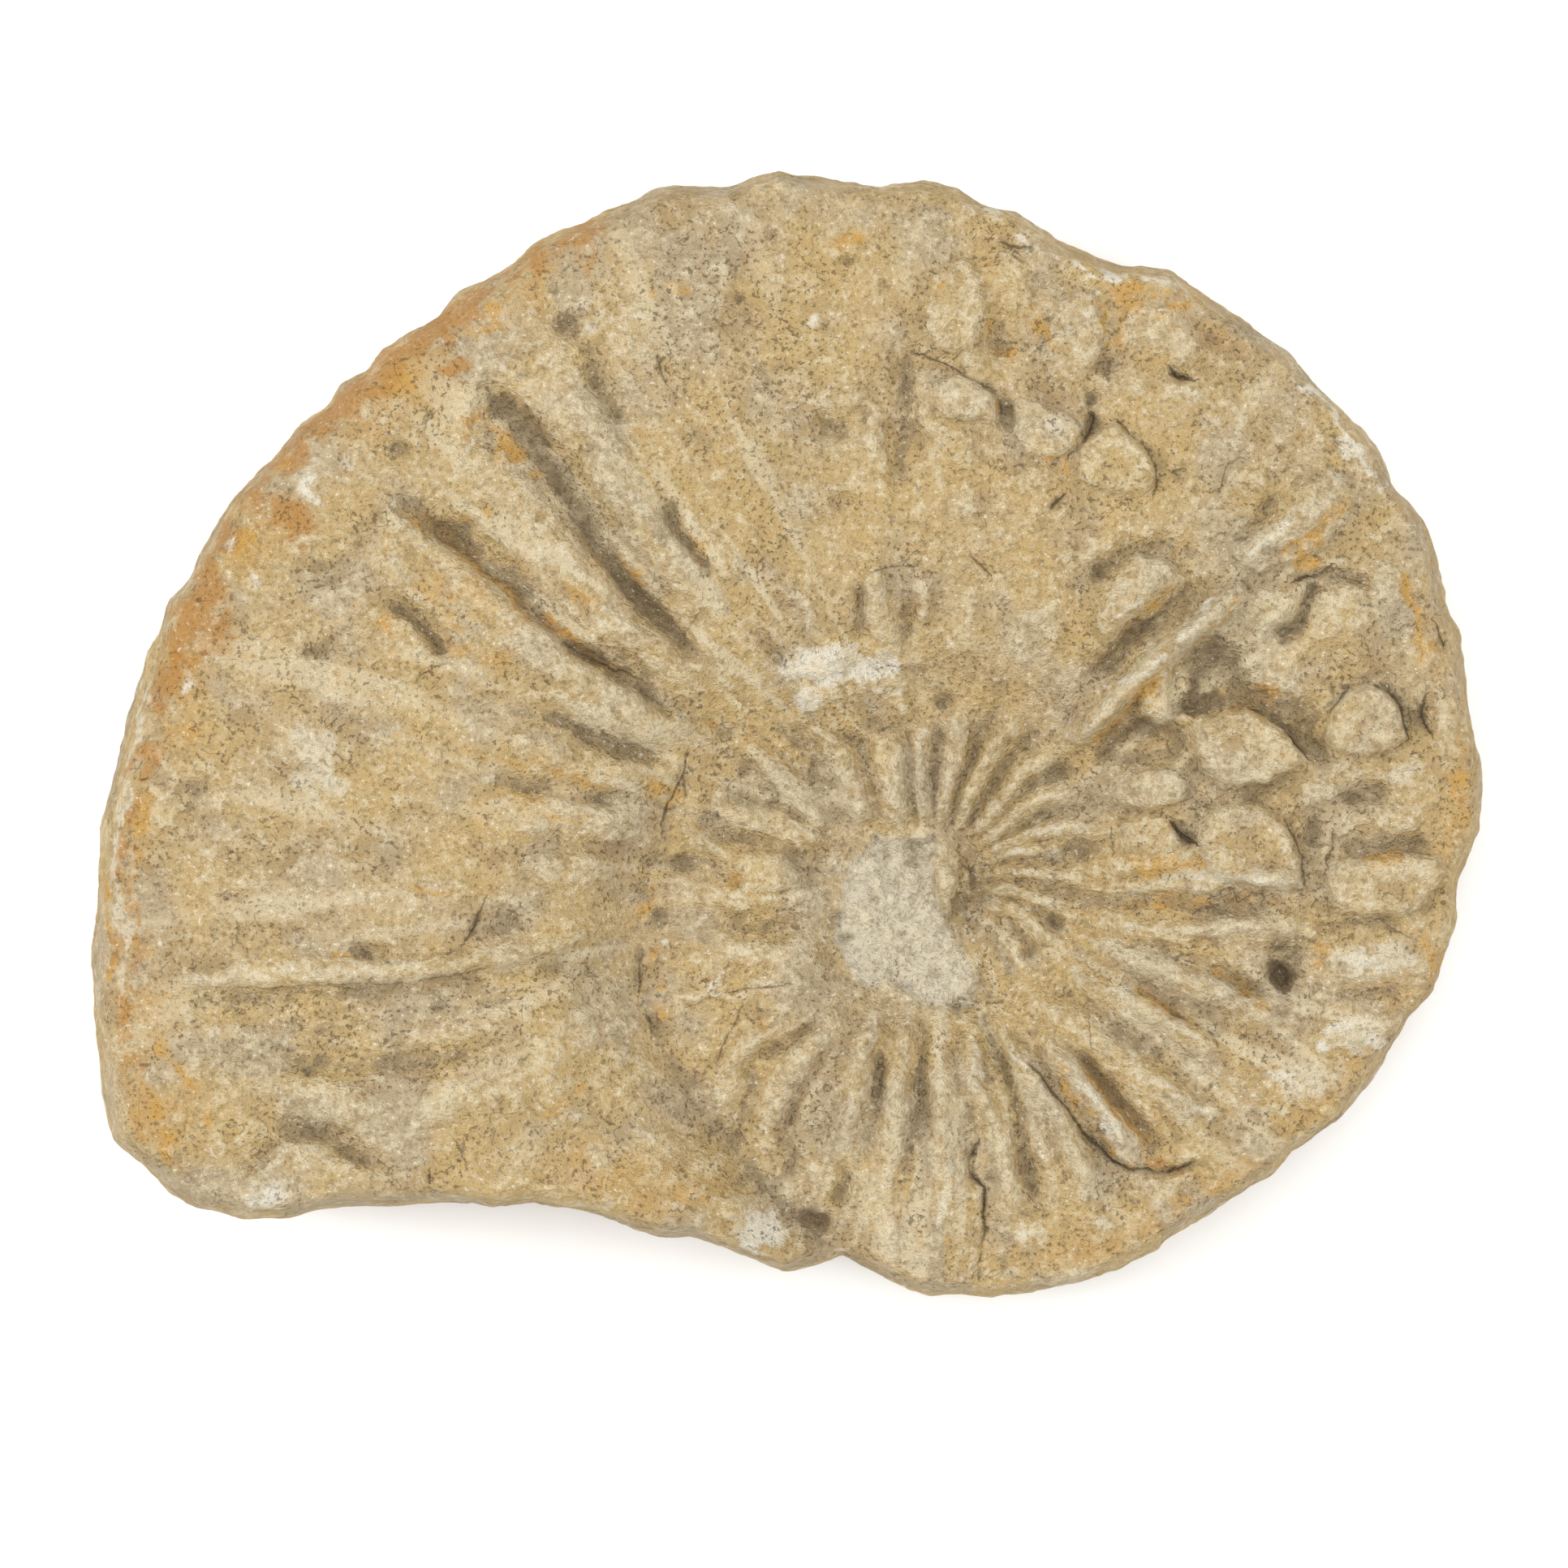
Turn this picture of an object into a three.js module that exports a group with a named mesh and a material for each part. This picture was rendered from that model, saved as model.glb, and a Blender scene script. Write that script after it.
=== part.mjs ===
// An ammonite: one coiled, ribbed shell turned to pale limestone, lying on its worn reverse side.
// Millimetres, +Z up. The origin is under the middle of the shell, on the surface it lies on.
// Seen from above the shell coils outwards counter-clockwise from its umbilicus, and the broken
// mouth of the last whorl is at the lower left.

import * as THREE from "three";
import { mergeVertices } from "three/addons/utils/BufferGeometryUtils.js";

// Driving dimensions of the shell.
const UMBILICUS = { x: 34, y: -28.5 }; // the middle of the coil
const OUTLINE_SPREAD = 1.016; // the belly is deeper down than the flank the outline was read on
const OUTLINE_AXIS = { x: -0.88, y: -9.52 }; // the point that the outline spreads from
const SHOULDER = 13; // breadth of the rounded edge between the flank and the belly
const BELLY_LEVEL = 0.46; // height of the belly's widest line, as a share of the flank's height
const EDGE_FALL = 4; // how far the last whorl's flank falls from its crest to its shoulder
const CREST_SHARE = 0.42; // where a whorl is highest, from its inner seam to its outer edge
const MOUTH_ANGLE = 252; // the direction in which the last whorl ends
const BODY_BREADTH = 104; // breadth of the last whorl where its mouth is broken off
const NUCLEUS_DOME = 2; // height of the first, smallest whorls over their seam
const MATRIX_LEVEL = 44; // height of the pale rock that still fills one side of the umbilicus

// Driving dimensions of the reverse side.
const REVERSE_HOLLOW = { radius: 31, depth: 15 }; // its umbilicus
const REVERSE_RIBS = { count: 40, depth: 2.6, from: 0.62 }; // ribs left near the edge
const REVERSE_SHOULDER = 17;

// The facets: a ball with 24 faces above its widest line and 12 below, each cut into small ones.
const FACET_DETAIL = 15; // cuts along each side of a face, 256 facets to a face
const FLANK_SHARE = 0.87; // the part of the ball's upper half that makes the flank
const MIDDLE_BIAS = 1.15; // over 1 the facets are smaller near the middle of the coil
const REVERSE_EDGE_SHARE = 0.42; // the part of its lower half that makes the reverse's edge

// The outline, counter-clockwise from the right, as points that a smooth curve runs through.
const OUTLINE = [
  [136.9, -10], [134.6, 4], [132.5, 20], [128.3, 30], [127.3, 39], [123, 45.5], [119, 49],
  [113, 60], [103, 70], [95, 78], [84, 85], [75, 91.5], [66, 92.6], [55, 96.5], [45, 103],
  [33, 108], [26, 109], [10, 109.3], [-2, 110.8], [-10, 108.7], [-26, 107.4], [-40, 101],
  [-50, 97], [-60, 89.5], [-72, 80], [-87, 70], [-93, 62], [-105, 50.3], [-113, 41],
  [-117.7, 31], [-124, 19], [-129, 5.5], [-134, -15], [-136.2, -37], [-136.9, -43],
  [-136.2, -55], [-134.5, -70], [-132, -80], [-123, -88], [-117, -93], [-108, -95], [-92, -93],
  [-70, -92.2], [-50, -91.8], [-38, -93.5], [-25, -98.5], [-10, -101.6], [-2, -105], [5, -104],
  [10.5, -102.8], [15, -105], [26, -110.2], [44, -110.6], [57, -108], [72, -102], [85, -92.5],
  [96, -86.3], [104, -79], [113, -70.5], [120, -60], [127.5, -50.5], [131.5, -37],
  [132.2, -27], [136, -20.6],
];

// The seam where each whorl lies on the one inside it: [degrees wound, distance from the middle].
const SEAM = [
  [-108, 4], [-7, 4], [73, 6.8], [115, 11.6], [143, 17.5], [164, 22.9], [183, 25], [204, 28.4],
  [222, 29.4], [250, 27], [282, 28], [335, 27.5], [365, 28], [397, 31], [416, 34], [443, 34.7],
  [464, 38.6], [485, 42], [500, 51], [507, 57], [532, 59.6], [548, 64.7], [574, 67.5],
  [597, 71], [612, 78],
];

// Heights over the surface below: [degrees wound, height].
const CREST_HEIGHT = [
  [-108, 41], [0, 43], [90, 46], [180, 53], [220, 56], [252, 54], [300, 52], [360, 54],
  [450, 62], [540, 70], [612, 71],
];
const SEAM_HEIGHT = [
  [-108, 38], [0, 37], [90, 38], [180, 40], [270, 40], [360, 43], [450, 50], [510, 55],
  [540, 56], [580, 54], [612, 50],
];

// Ribs, each a crest line from its inner to its outer end.
const INNER_RIBS = {
  reach: 2.6,
  height: 2.4,
  lines: [
    [[37.5, -35.5], [44, -39]],
    [[38.5, -33], [44, -35], [50, -38]],
    [[39, -30.5], [43, -30.5], [54, -35]],
    [[40, -27.5], [48, -27.5], [56, -29]],
    [[38, -24.5], [45, -22.7], [56, -23]],
    [[38, -22], [45, -18.5], [56, -17.5]],
    [[37, -20], [44, -14.5], [56, -11]],
    [[36, -19], [42, -12], [51, -4]],
    [[33, -17], [38, -9], [43, 3]],
    [[29.5, -17], [32, -5], [35, 6]],
    [[26.5, -15], [25.5, -5], [25, 4]],
    [[22, -14], [17.5, -2], [16.5, 2]],
    [[15, -12], [6, -2], [3, 3]],
    [[9, -12], [3, -7], [-4, -1]],
    [[6, -15], [-1, -8], [-9, 0]],
    [[4, -19], [-4, -14], [-14, -10]],
    [[2, -24], [-10, -22.5], [-22, -19]],
    [[2, -29], [-13, -27.5], [-25, -29]],
    [[2, -34], [-20, -36]],
    [[4, -41], [-12, -44], [-24, -47]],
  ],
};
const LOWER_RIBS = {
  reach: 4.6,
  height: 3.4,
  lines: [
    [[59, -39], [74, -45], [91, -53], [104, -58]],
    [[55, -46], [70, -54], [85, -61], [98, -68]],
    [[50, -52], [63, -61], [77, -71], [88, -79]],
    [[49, -58], [60, -71], [69, -84], [74, -90]],
    [[41, -57], [48, -67], [55, -78], [60, -92]],
    [[36, -58], [39, -74], [43, -84], [44, -98]],
    [[30, -56], [30, -75], [31, -98]],
    [[24, -55], [21.5, -70], [20, -86]],
    [[17, -54], [13, -70], [10, -84]],
    [[8, -57], [0, -68], [-5, -78]],
    [[0, -52], [-10, -62], [-17, -72]],
  ],
};
const RIGHT_RIBS = {
  reach: 4.4,
  height: 4.2,
  lines: [
    [[91, 35], [104, 46]],
    [[62, 21], [76, 33]],
    [[55, 0], [65, 7], [80, 22], [87, 29]],
    [[63, -25.5], [88, -25.5]],
    [[62, -31], [90, -29], [101, -29]],
    [[64, -37], [78, -38.5], [97, -36]],
    [[17, 31], [19, 20]],
  ],
};
const BODY_RIDGES = {
  reach: 6,
  height: 3.6,
  lines: [
    [[-51, 78], [-43, 63], [-33, 49], [-22, 33], [-16, 26]],
    [[-64, 60], [-48, 45], [-38, 31], [-27, 18], [-20, 12]],
    [[-118, -46.5], [-93, -46], [-70, -47], [-56, -43], [-41, -39.5]],
    [[-100, -58], [-76, -58.8], [-63, -56], [-45, -50]],
  ],
};

// Grooves and cracks that are wide enough to be a form of their own.
const GROOVES = [
  { reach: 5.4, depth: 8, line: [[-58, 68], [-50, 55], [-40, 40], [-27, 24], [-20, 17]] },
  { reach: 4.5, depth: 5, line: [[-76, 47], [-65, 39], [-53, 27], [-40, 16], [-20, 5]] },
  { reach: 4, depth: 3, line: [[-80, 25], [-69, 17]] },
  { reach: 4, depth: 3.2, line: [[-50, 4], [-38, 0], [-23, -5]] },
  { reach: 4, depth: 3, line: [[-57, -7], [-36, -13]] },
  { reach: 4, depth: 3, line: [[-55, -24], [-33, -22]] },
  { reach: 6, depth: 3.6, line: [[-115, -52], [-75, -53], [-50, -47], [-40, -43]] },
  { reach: 6, depth: 3, line: [[-117, -62], [-90, -65], [-75, -66]] },
  { reach: 5, depth: 3.5, line: [[-104, -74], [-92, -79], [-80, -84]] },
  { reach: 4.5, depth: 3, line: [[-40, 74], [-33, 60]] },
  { reach: 5.5, depth: 3.5, line: [[23, 80], [22, 45]] },
  { reach: 4, depth: 5, line: [[60, 14], [68, 21], [76, 29]] },
  { reach: 3.4, depth: 3.5, line: [[58, -64], [68, -77], [74, -84]] },
  { reach: 3.2, depth: 4, line: [[46, -64], [56, -76], [68, -86], [86, -84.5]] },
  { reach: 3, depth: 3.5, line: [[39, -57], [45, -75], [50, -92]] },
  { reach: 3.4, depth: 3.5, line: [[106, -9], [120, -12]] },
  { reach: 5, depth: 4, line: [[102, -20], [128, -20.5]] },
];

// Raised lumps and sunk hollows: middle, half breadths along X and Y, and height or depth.
const LUMPS = [
  { at: [32.5, 84], half: [6, 10], height: 4 },
  { at: [56, 79], half: [5.5, 9], height: 4 },
  { at: [37, 66], half: [7, 6], height: 3.5 },
  { at: [51, 60], half: [7, 6], height: 3.5 },
  { at: [64.5, 53], half: [8, 7], height: 3.5 },
  { at: [91, -3], half: [10, 9], height: 5 },
  { at: [114, 3], half: [8, 8], height: 4 },
  { at: [91, -20], half: [10, 8], height: 4 },
  { at: [73, -9], half: [8, 5], height: 3.5 },
  { at: [72, -18], half: [6, 4], height: 2.5 },
  { at: [117, -29], half: [11, 6], height: 4 },
  { at: [117, -43], half: [9, 5], height: 3.5 },
  { at: [112, -59], half: [9, 4.5], height: 3 },
  { at: [13, 6], half: [12, 6], height: 4 },
  { at: [-44, -13], half: [5, 4], height: 2 },
  { at: [-90, -72], half: [12, 6], height: 3 },
];
const HOLLOWS = [
  { at: [82, 11], half: [7, 9], depth: 8 },
  { at: [69, -0.5], half: [7, 5], depth: 5 },
  { at: [97.5, -47], half: [5, 7], depth: 8 },
  { at: [76, -17], half: [4, 3.5], depth: 5 },
  { at: [103, 29], half: [6, 5], depth: 3 },
  { at: [8, 60], half: [5, 4.5], depth: 3 },
  { at: [11, 46], half: [5, 4], depth: 2.5 },
  { at: [-44, 80], half: [4, 4], depth: 5 },
  { at: [-56, -37], half: [7, 4.5], depth: 4 },
  { at: [-82, -42], half: [5, 4], depth: 3.5 },
  { at: [-91, 33], half: [6, 6], depth: 3 },
  { at: [-92, 17], half: [5, 5], depth: 2.5 },
  { at: [-117, -11], half: [5, 5], depth: 2.5 },
  { at: [-77, 56], half: [5, 5], depth: 2.5 },
  { at: [5, -95], half: [6, 4], depth: 5 },
  { at: [58, -22], half: [5, 4], depth: 4 },
  { at: [31, 7], half: [4, 3.5], depth: 3.5 },
  { at: [53, -37], half: [4, 3.5], depth: 3 },
  { at: [-21, -25], half: [5, 4], depth: 3 },
];

// The pale rock left in the umbilicus, as overlapping ovals.
const MATRIX = [
  { at: [19.5, -32], half: [10, 12.5] },
  { at: [27, -46], half: [10, 8.5] },
];

// A worn block of stone is nowhere quite even: long, low waves [length, height, direction, start].
const UNEVENNESS = [
  [61, 0.9, 20, 0.4], [37, 0.6, 75, 2.1], [23, 0.45, 131, 4.0], [15, 0.35, 48, 1.3],
];

const radians = (degrees) => (degrees * Math.PI) / 180;
const between = (value, low, high) => Math.min(Math.max(value, low), high);
const smooth = (share) => share * share * (3 - 2 * share);
const fade = (share) => 1 - smooth(between(share, 0, 1));

// Reads a list of [position, value] pairs at any position.
function read(pairs, position) {
  const last = pairs.length - 1;
  let i = 1;
  while (i < last && pairs[i][0] < position) i++;
  const [x0, y0] = pairs[i - 1];
  const [x1, y1] = pairs[i];
  return y0 + (y1 - y0) * between((position - x0) / (x1 - x0), 0, 1);
}

// The distance from the umbilicus to the outline in each direction, from -108 to 252 degrees.
function outlineReach() {
  const spread = ([x, y]) => new THREE.Vector3(
    OUTLINE_AXIS.x + (x - OUTLINE_AXIS.x) * OUTLINE_SPREAD,
    OUTLINE_AXIS.y + (y - OUTLINE_AXIS.y) * OUTLINE_SPREAD,
    0,
  );
  const curve = new THREE.CatmullRomCurve3(OUTLINE.map(spread), true, "centripetal");
  const reach = curve.getPoints(OUTLINE.length * 8).map(({ x, y }) => [
    wound(Math.atan2(y - UMBILICUS.y, x - UMBILICUS.x)),
    Math.hypot(x - UMBILICUS.x, y - UMBILICUS.y),
  ]);
  reach.sort((a, b) => a[0] - b[0]);
  const turned = (degrees) => reach.map(([turn, distance]) => [turn + degrees, distance]);
  return [...turned(-360).slice(-OUTLINE.length), ...reach, ...turned(360).slice(0, OUTLINE.length)];
}

// An angle in degrees, counted round from just past the mouth.
function wound(angle) {
  const degrees = (angle * 180) / Math.PI;
  return degrees >= MOUTH_ANGLE ? degrees - 360 : degrees < MOUTH_ANGLE - 360 ? degrees + 360 : degrees;
}

const REACH = outlineReach();

// How far a point is from a line of straight stretches.
function distanceTo(line, x, y) {
  let nearest = Infinity;
  for (let i = 1; i < line.length; i++) {
    const [ax, ay] = line[i - 1];
    const [bx, by] = line[i];
    const [dx, dy] = [bx - ax, by - ay];
    const along = between(((x - ax) * dx + (y - ay) * dy) / (dx * dx + dy * dy), 0, 1);
    nearest = Math.min(nearest, Math.hypot(x - ax - along * dx, y - ay - along * dy));
  }
  return nearest;
}

const ridges = ({ reach, height, lines }, x, y) =>
  height * Math.max(...lines.map((line) => fade(distanceTo(line, x, y) / reach)));

const inOval = ({ at, half }, x, y) => Math.hypot((x - at[0]) / half[0], (y - at[1]) / half[1]);

// A flat-topped oval: whole inside, and faded out just past its edge.
const oval = (form, x, y) => fade((inOval(form, x, y) - 0.55) / 0.7);

// The bare coil: the height of the flank, before ribs, lumps and grooves.
function flank(x, y) {
  const [dx, dy] = [x - UMBILICUS.x, y - UMBILICUS.y];
  const distance = Math.hypot(dx, dy);
  const turn = wound(Math.atan2(dy, dx));
  const seams = [read(SEAM, turn), read(SEAM, turn + 360)];
  if (distance < seams[0]) {
    return read(SEAM_HEIGHT, turn) + NUCLEUS_DOME * (1 - distance / seams[0]);
  }
  const last = distance >= seams[1];
  const at = last ? turn + 360 : turn;
  const broad = turn > MOUTH_ANGLE - 70 ? BODY_BREADTH : 0;
  const inner = last ? seams[1] : seams[0];
  const outer = last ? Math.max(read(REACH, turn), inner + broad) : seams[1];
  const foot = read(SEAM_HEIGHT, at);
  const crest = read(CREST_HEIGHT, at);
  const edge = last ? crest - EDGE_FALL : read(SEAM_HEIGHT, turn + 360);
  const across = (distance - inner) / Math.max(outer - inner, 1);
  return across < CREST_SHARE
    ? foot + (crest - foot) * (1 - (1 - across / CREST_SHARE) ** 2.4)
    : crest - (crest - edge) * ((across - CREST_SHARE) / (1 - CREST_SHARE)) ** 2;
}

// The finished face: the flank with everything that stands on it or is sunk in it.
function face(x, y) {
  let height = flank(x, y);
  for (const family of [INNER_RIBS, LOWER_RIBS, RIGHT_RIBS, BODY_RIDGES]) {
    height += ridges(family, x, y);
  }
  for (const { reach, depth, line } of GROOVES) {
    height -= depth * fade(distanceTo(line, x, y) / reach);
  }
  for (const lump of LUMPS) height += lump.height * oval(lump, x, y);
  for (const hollow of HOLLOWS) height -= hollow.depth * oval(hollow, x, y);
  const rock = Math.max(...MATRIX.map((part) => oval(part, x, y)));
  height += (MATRIX_LEVEL - height) * rock;
  for (const [length, rise, direction, start] of UNEVENNESS) {
    const along = x * Math.cos(radians(direction)) + y * Math.sin(radians(direction));
    height += rise * Math.sin((2 * Math.PI * along) / length + start);
  }
  return height;
}

// The reverse side: ground flat on the surface below, with a hollow middle and worn ribs.
function reverse(x, y, angle, reach) {
  const distance = Math.hypot(x - UMBILICUS.x, y - UMBILICUS.y);
  const hollow = REVERSE_HOLLOW.depth * fade(distance / REVERSE_HOLLOW.radius);
  const outwards = smooth(between((distance / reach - REVERSE_RIBS.from) / 0.3, 0, 1));
  const valley = Math.max(0, Math.sin(REVERSE_RIBS.count * angle));
  return hollow + REVERSE_RIBS.depth * outwards * valley;
}

// The place on the shell of a point of the ball, from its direction round the coil and from how far
// down the ball it is: 0 at the top, 1 on the widest line and 2 at the bottom.
function placeOf(angle, down) {
  const turn = wound(angle);
  const reach = read(REACH, turn);
  const slant = (read(REACH, turn + 3) - read(REACH, turn - 3)) / radians(6) / reach;
  const lean = Math.min(Math.hypot(1, slant), 2);
  const place = (distance) => [
    UMBILICUS.x + distance * Math.cos(angle),
    UMBILICUS.y + distance * Math.sin(angle),
  ];
  const belly = BELLY_LEVEL * face(...place(reach - SHOULDER));
  const flankEnd = reach - SHOULDER * lean;
  if (down < FLANK_SHARE) {
    const [x, y] = place(flankEnd * (down / FLANK_SHARE) ** MIDDLE_BIAS);
    return [x, y, face(x, y)];
  }
  if (down <= 1) {
    const over = radians((90 * (down - FLANK_SHARE)) / (1 - FLANK_SHARE));
    const [x, y] = place(flankEnd + SHOULDER * lean * Math.sin(over));
    return [x, y, belly + (face(x, y) - belly) * Math.cos(over)];
  }
  const reverseEnd = reach - REVERSE_SHOULDER * lean;
  if (down < 1 + REVERSE_EDGE_SHARE) {
    const under = radians((90 * (down - 1)) / REVERSE_EDGE_SHARE);
    const [x, y] = place(reverseEnd + REVERSE_SHOULDER * lean * Math.cos(under));
    return [x, y, belly * (1 - Math.sin(under)) + reverse(x, y, angle, reach) * Math.sin(under)];
  }
  const [x, y] = place((reverseEnd * (2 - down)) / (1 - REVERSE_EDGE_SHARE));
  return [x, y, reverse(x, y, angle, reach)];
}

// A ball of small facets: its top, 6 corners half way down, 12 on its widest line, and its bottom.
function facetedBall() {
  const corners = [0, 0, 1];
  for (let i = 0; i < 6; i++) corners.push(Math.cos(radians(60 * i)), Math.sin(radians(60 * i)), 1);
  for (let i = 0; i < 12; i++) corners.push(Math.cos(radians(30 * i)), Math.sin(radians(30 * i)), 0);
  corners.push(0, 0, -1);
  const [top, bottom] = [0, 19];
  const faces = [];
  for (let i = 0; i < 6; i++) {
    const [upper, upperNext] = [1 + i, 1 + ((i + 1) % 6)];
    const [low, lowMiddle, lowNext] = [7 + 2 * i, 8 + 2 * i, 7 + ((2 * i + 2) % 12)];
    faces.push(top, upper, upperNext, upper, low, lowMiddle, upper, lowMiddle, upperNext);
    faces.push(upperNext, lowMiddle, lowNext, bottom, lowMiddle, low, bottom, lowNext, lowMiddle);
  }
  const ball = new THREE.PolyhedronGeometry(corners, faces, 1, FACET_DETAIL);
  ball.deleteAttribute("normal");
  ball.deleteAttribute("uv");
  return mergeVertices(ball);
}

// The shell as one closed surface: the ball with each of its points moved to its place.
function ammonite() {
  const shell = facetedBall();
  const vertices = shell.attributes.position;
  for (let i = 0; i < vertices.count; i++) {
    const angle = Math.atan2(vertices.getY(i), vertices.getX(i));
    const down = Math.acos(between(vertices.getZ(i), -1, 1)) / (Math.PI / 2);
    vertices.setXYZ(i, ...placeOf(angle, down));
  }
  shell.computeVertexNormals();
  const limestone = new THREE.MeshStandardMaterial({ color: 0xc4ad82, roughness: 0.88, metalness: 0 });
  const mesh = new THREE.Mesh(shell, limestone);
  mesh.name = "ammonite";
  return mesh;
}

const part = new THREE.Group();
part.add(ammonite());

export default part;
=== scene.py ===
# %% [markdown]
# An ammonite in pale limestone, lying on its worn reverse side.
# The real fossil is a coiled shell that filled with lime mud and turned to stone. It is one piece, so
# it is one object here: a closed mesh whose every point is put at the height of the stone below it.
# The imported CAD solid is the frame. It gives the size, and the mesh made here takes its place.

# %% Load the frame
import math

import bmesh
import bpy
import numpy as np
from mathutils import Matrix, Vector, noise


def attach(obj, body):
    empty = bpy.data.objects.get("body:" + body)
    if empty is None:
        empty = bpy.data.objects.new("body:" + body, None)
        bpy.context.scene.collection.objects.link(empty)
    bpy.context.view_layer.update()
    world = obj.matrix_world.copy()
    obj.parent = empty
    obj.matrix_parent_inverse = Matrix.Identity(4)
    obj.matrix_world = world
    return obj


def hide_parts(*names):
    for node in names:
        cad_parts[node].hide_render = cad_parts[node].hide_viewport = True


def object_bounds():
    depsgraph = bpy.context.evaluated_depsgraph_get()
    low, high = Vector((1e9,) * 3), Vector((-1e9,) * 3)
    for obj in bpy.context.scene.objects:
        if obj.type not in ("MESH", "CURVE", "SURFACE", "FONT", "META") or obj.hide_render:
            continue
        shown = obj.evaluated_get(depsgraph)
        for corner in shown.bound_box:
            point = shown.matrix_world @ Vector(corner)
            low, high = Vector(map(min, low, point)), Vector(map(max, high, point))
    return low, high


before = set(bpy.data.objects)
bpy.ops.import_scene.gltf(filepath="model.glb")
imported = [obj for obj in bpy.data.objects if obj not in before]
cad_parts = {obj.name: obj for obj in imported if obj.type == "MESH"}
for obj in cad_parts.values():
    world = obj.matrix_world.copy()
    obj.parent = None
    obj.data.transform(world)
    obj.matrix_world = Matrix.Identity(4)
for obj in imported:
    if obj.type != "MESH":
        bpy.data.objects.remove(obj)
solid_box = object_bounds()
MM = 0.001
SIZE = [(high - low) / MM for low, high in zip(*solid_box)]
print("the solid measures", [round(side, 1) for side in SIZE], "mm")

# %% [markdown]
# The camera looks straight down from well above, as a catalogue photograph of a flat object does. A
# long lens keeps the sides of the shell from showing. The photograph's middle is a little below the
# middle of the fossil, so the camera stands over that point and needs no shift.

# %% Set up the camera
PHOTO_BREADTH = 309.12  # millimetres across the photograph at the height of the fossil's face
FACE_LEVEL = 58.0
LENS, SENSOR = 200.0, 36.0
VIEW_AXIS = (-0.88, -9.52)

camera = bpy.data.objects.new("camera", bpy.data.cameras.new("camera"))
camera.data.lens, camera.data.sensor_width = LENS, SENSOR
camera.data.clip_end = 20
rise = FACE_LEVEL + PHOTO_BREADTH * LENS / SENSOR
camera.location = (VIEW_AXIS[0] * MM, VIEW_AXIS[1] * MM, rise * MM)
bpy.context.collection.objects.link(camera)
bpy.context.scene.camera = camera
print("the camera is", round(rise), "mm above the floor")

# %% [markdown]
# The stand is a plain pale floor, which isn't part of the fossil. The photograph was lit softly from
# all round: every rim is bright and only steep walls are dark. So the strongest of three large lamps
# hangs overhead, one at the left gives the direction of the shades, a weak one at the right lifts the
# far rims, and a pale sky fills in. The Standard view keeps the floor as white as the photograph's.

# %% Make the floor and the light
FLOOR_REACH = 6.0
LAMPS = [  # place in metres, breadth in metres, watts
    ((-3.4, 0.4, 2.6), 2.0, 95.0),
    ((0.3, 0.5, 4.4), 3.0, 128.0),
    ((3.0, -1.2, 2.2), 2.0, 36.0),
]
SKY_STRENGTH = 0.62


def plain_material(name, colour, roughness):
    """A material of one colour, for what isn't part of the fossil."""
    material = bpy.data.materials.new(name)
    material.use_nodes = True
    surface = material.node_tree.nodes["Principled BSDF"]
    surface.inputs["Base Color"].default_value = (*colour, 1)
    surface.inputs["Roughness"].default_value = roughness
    return material


bm = bmesh.new()
bmesh.ops.create_grid(bm, x_segments=1, y_segments=1, size=FLOOR_REACH)
floor_mesh = bpy.data.meshes.new("floor")
bm.to_mesh(floor_mesh)
bm.free()
floor = bpy.data.objects.new("floor", floor_mesh)
floor_mesh.materials.append(plain_material("floor", (0.93, 0.93, 0.93), 0.9))
bpy.context.collection.objects.link(floor)

for number, (place, breadth, power) in enumerate(LAMPS):
    lamp = bpy.data.lights.new(f"soft_lamp_{number}", "AREA")
    lamp.shape, lamp.size, lamp.energy = "DISK", breadth, power
    holder = bpy.data.objects.new(lamp.name, lamp)
    holder.location = place
    holder.rotation_euler = (Vector((0, 0, 0.04)) - Vector(place)).to_track_quat("-Z", "Y").to_euler()
    bpy.context.collection.objects.link(holder)

sky = bpy.data.worlds.new("sky")
sky.use_nodes = True
sky.node_tree.nodes["Background"].inputs["Color"].default_value = (1.0, 0.99, 0.97, 1)
sky.node_tree.nodes["Background"].inputs["Strength"].default_value = SKY_STRENGTH
bpy.context.scene.world = sky
bpy.context.scene.view_settings.view_transform = "Standard"
print(len(LAMPS), "lamps and a sky")

# %% [markdown]
# The coil is laid out in millimetres, seen from above, with X to the right and Y up the photograph.
# The outline is a line of measured points. The belly of the shell, which makes the outline, lies
# deeper than the face, so from the camera it looks a little small: it is spread by 1.6 percent.

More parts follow.
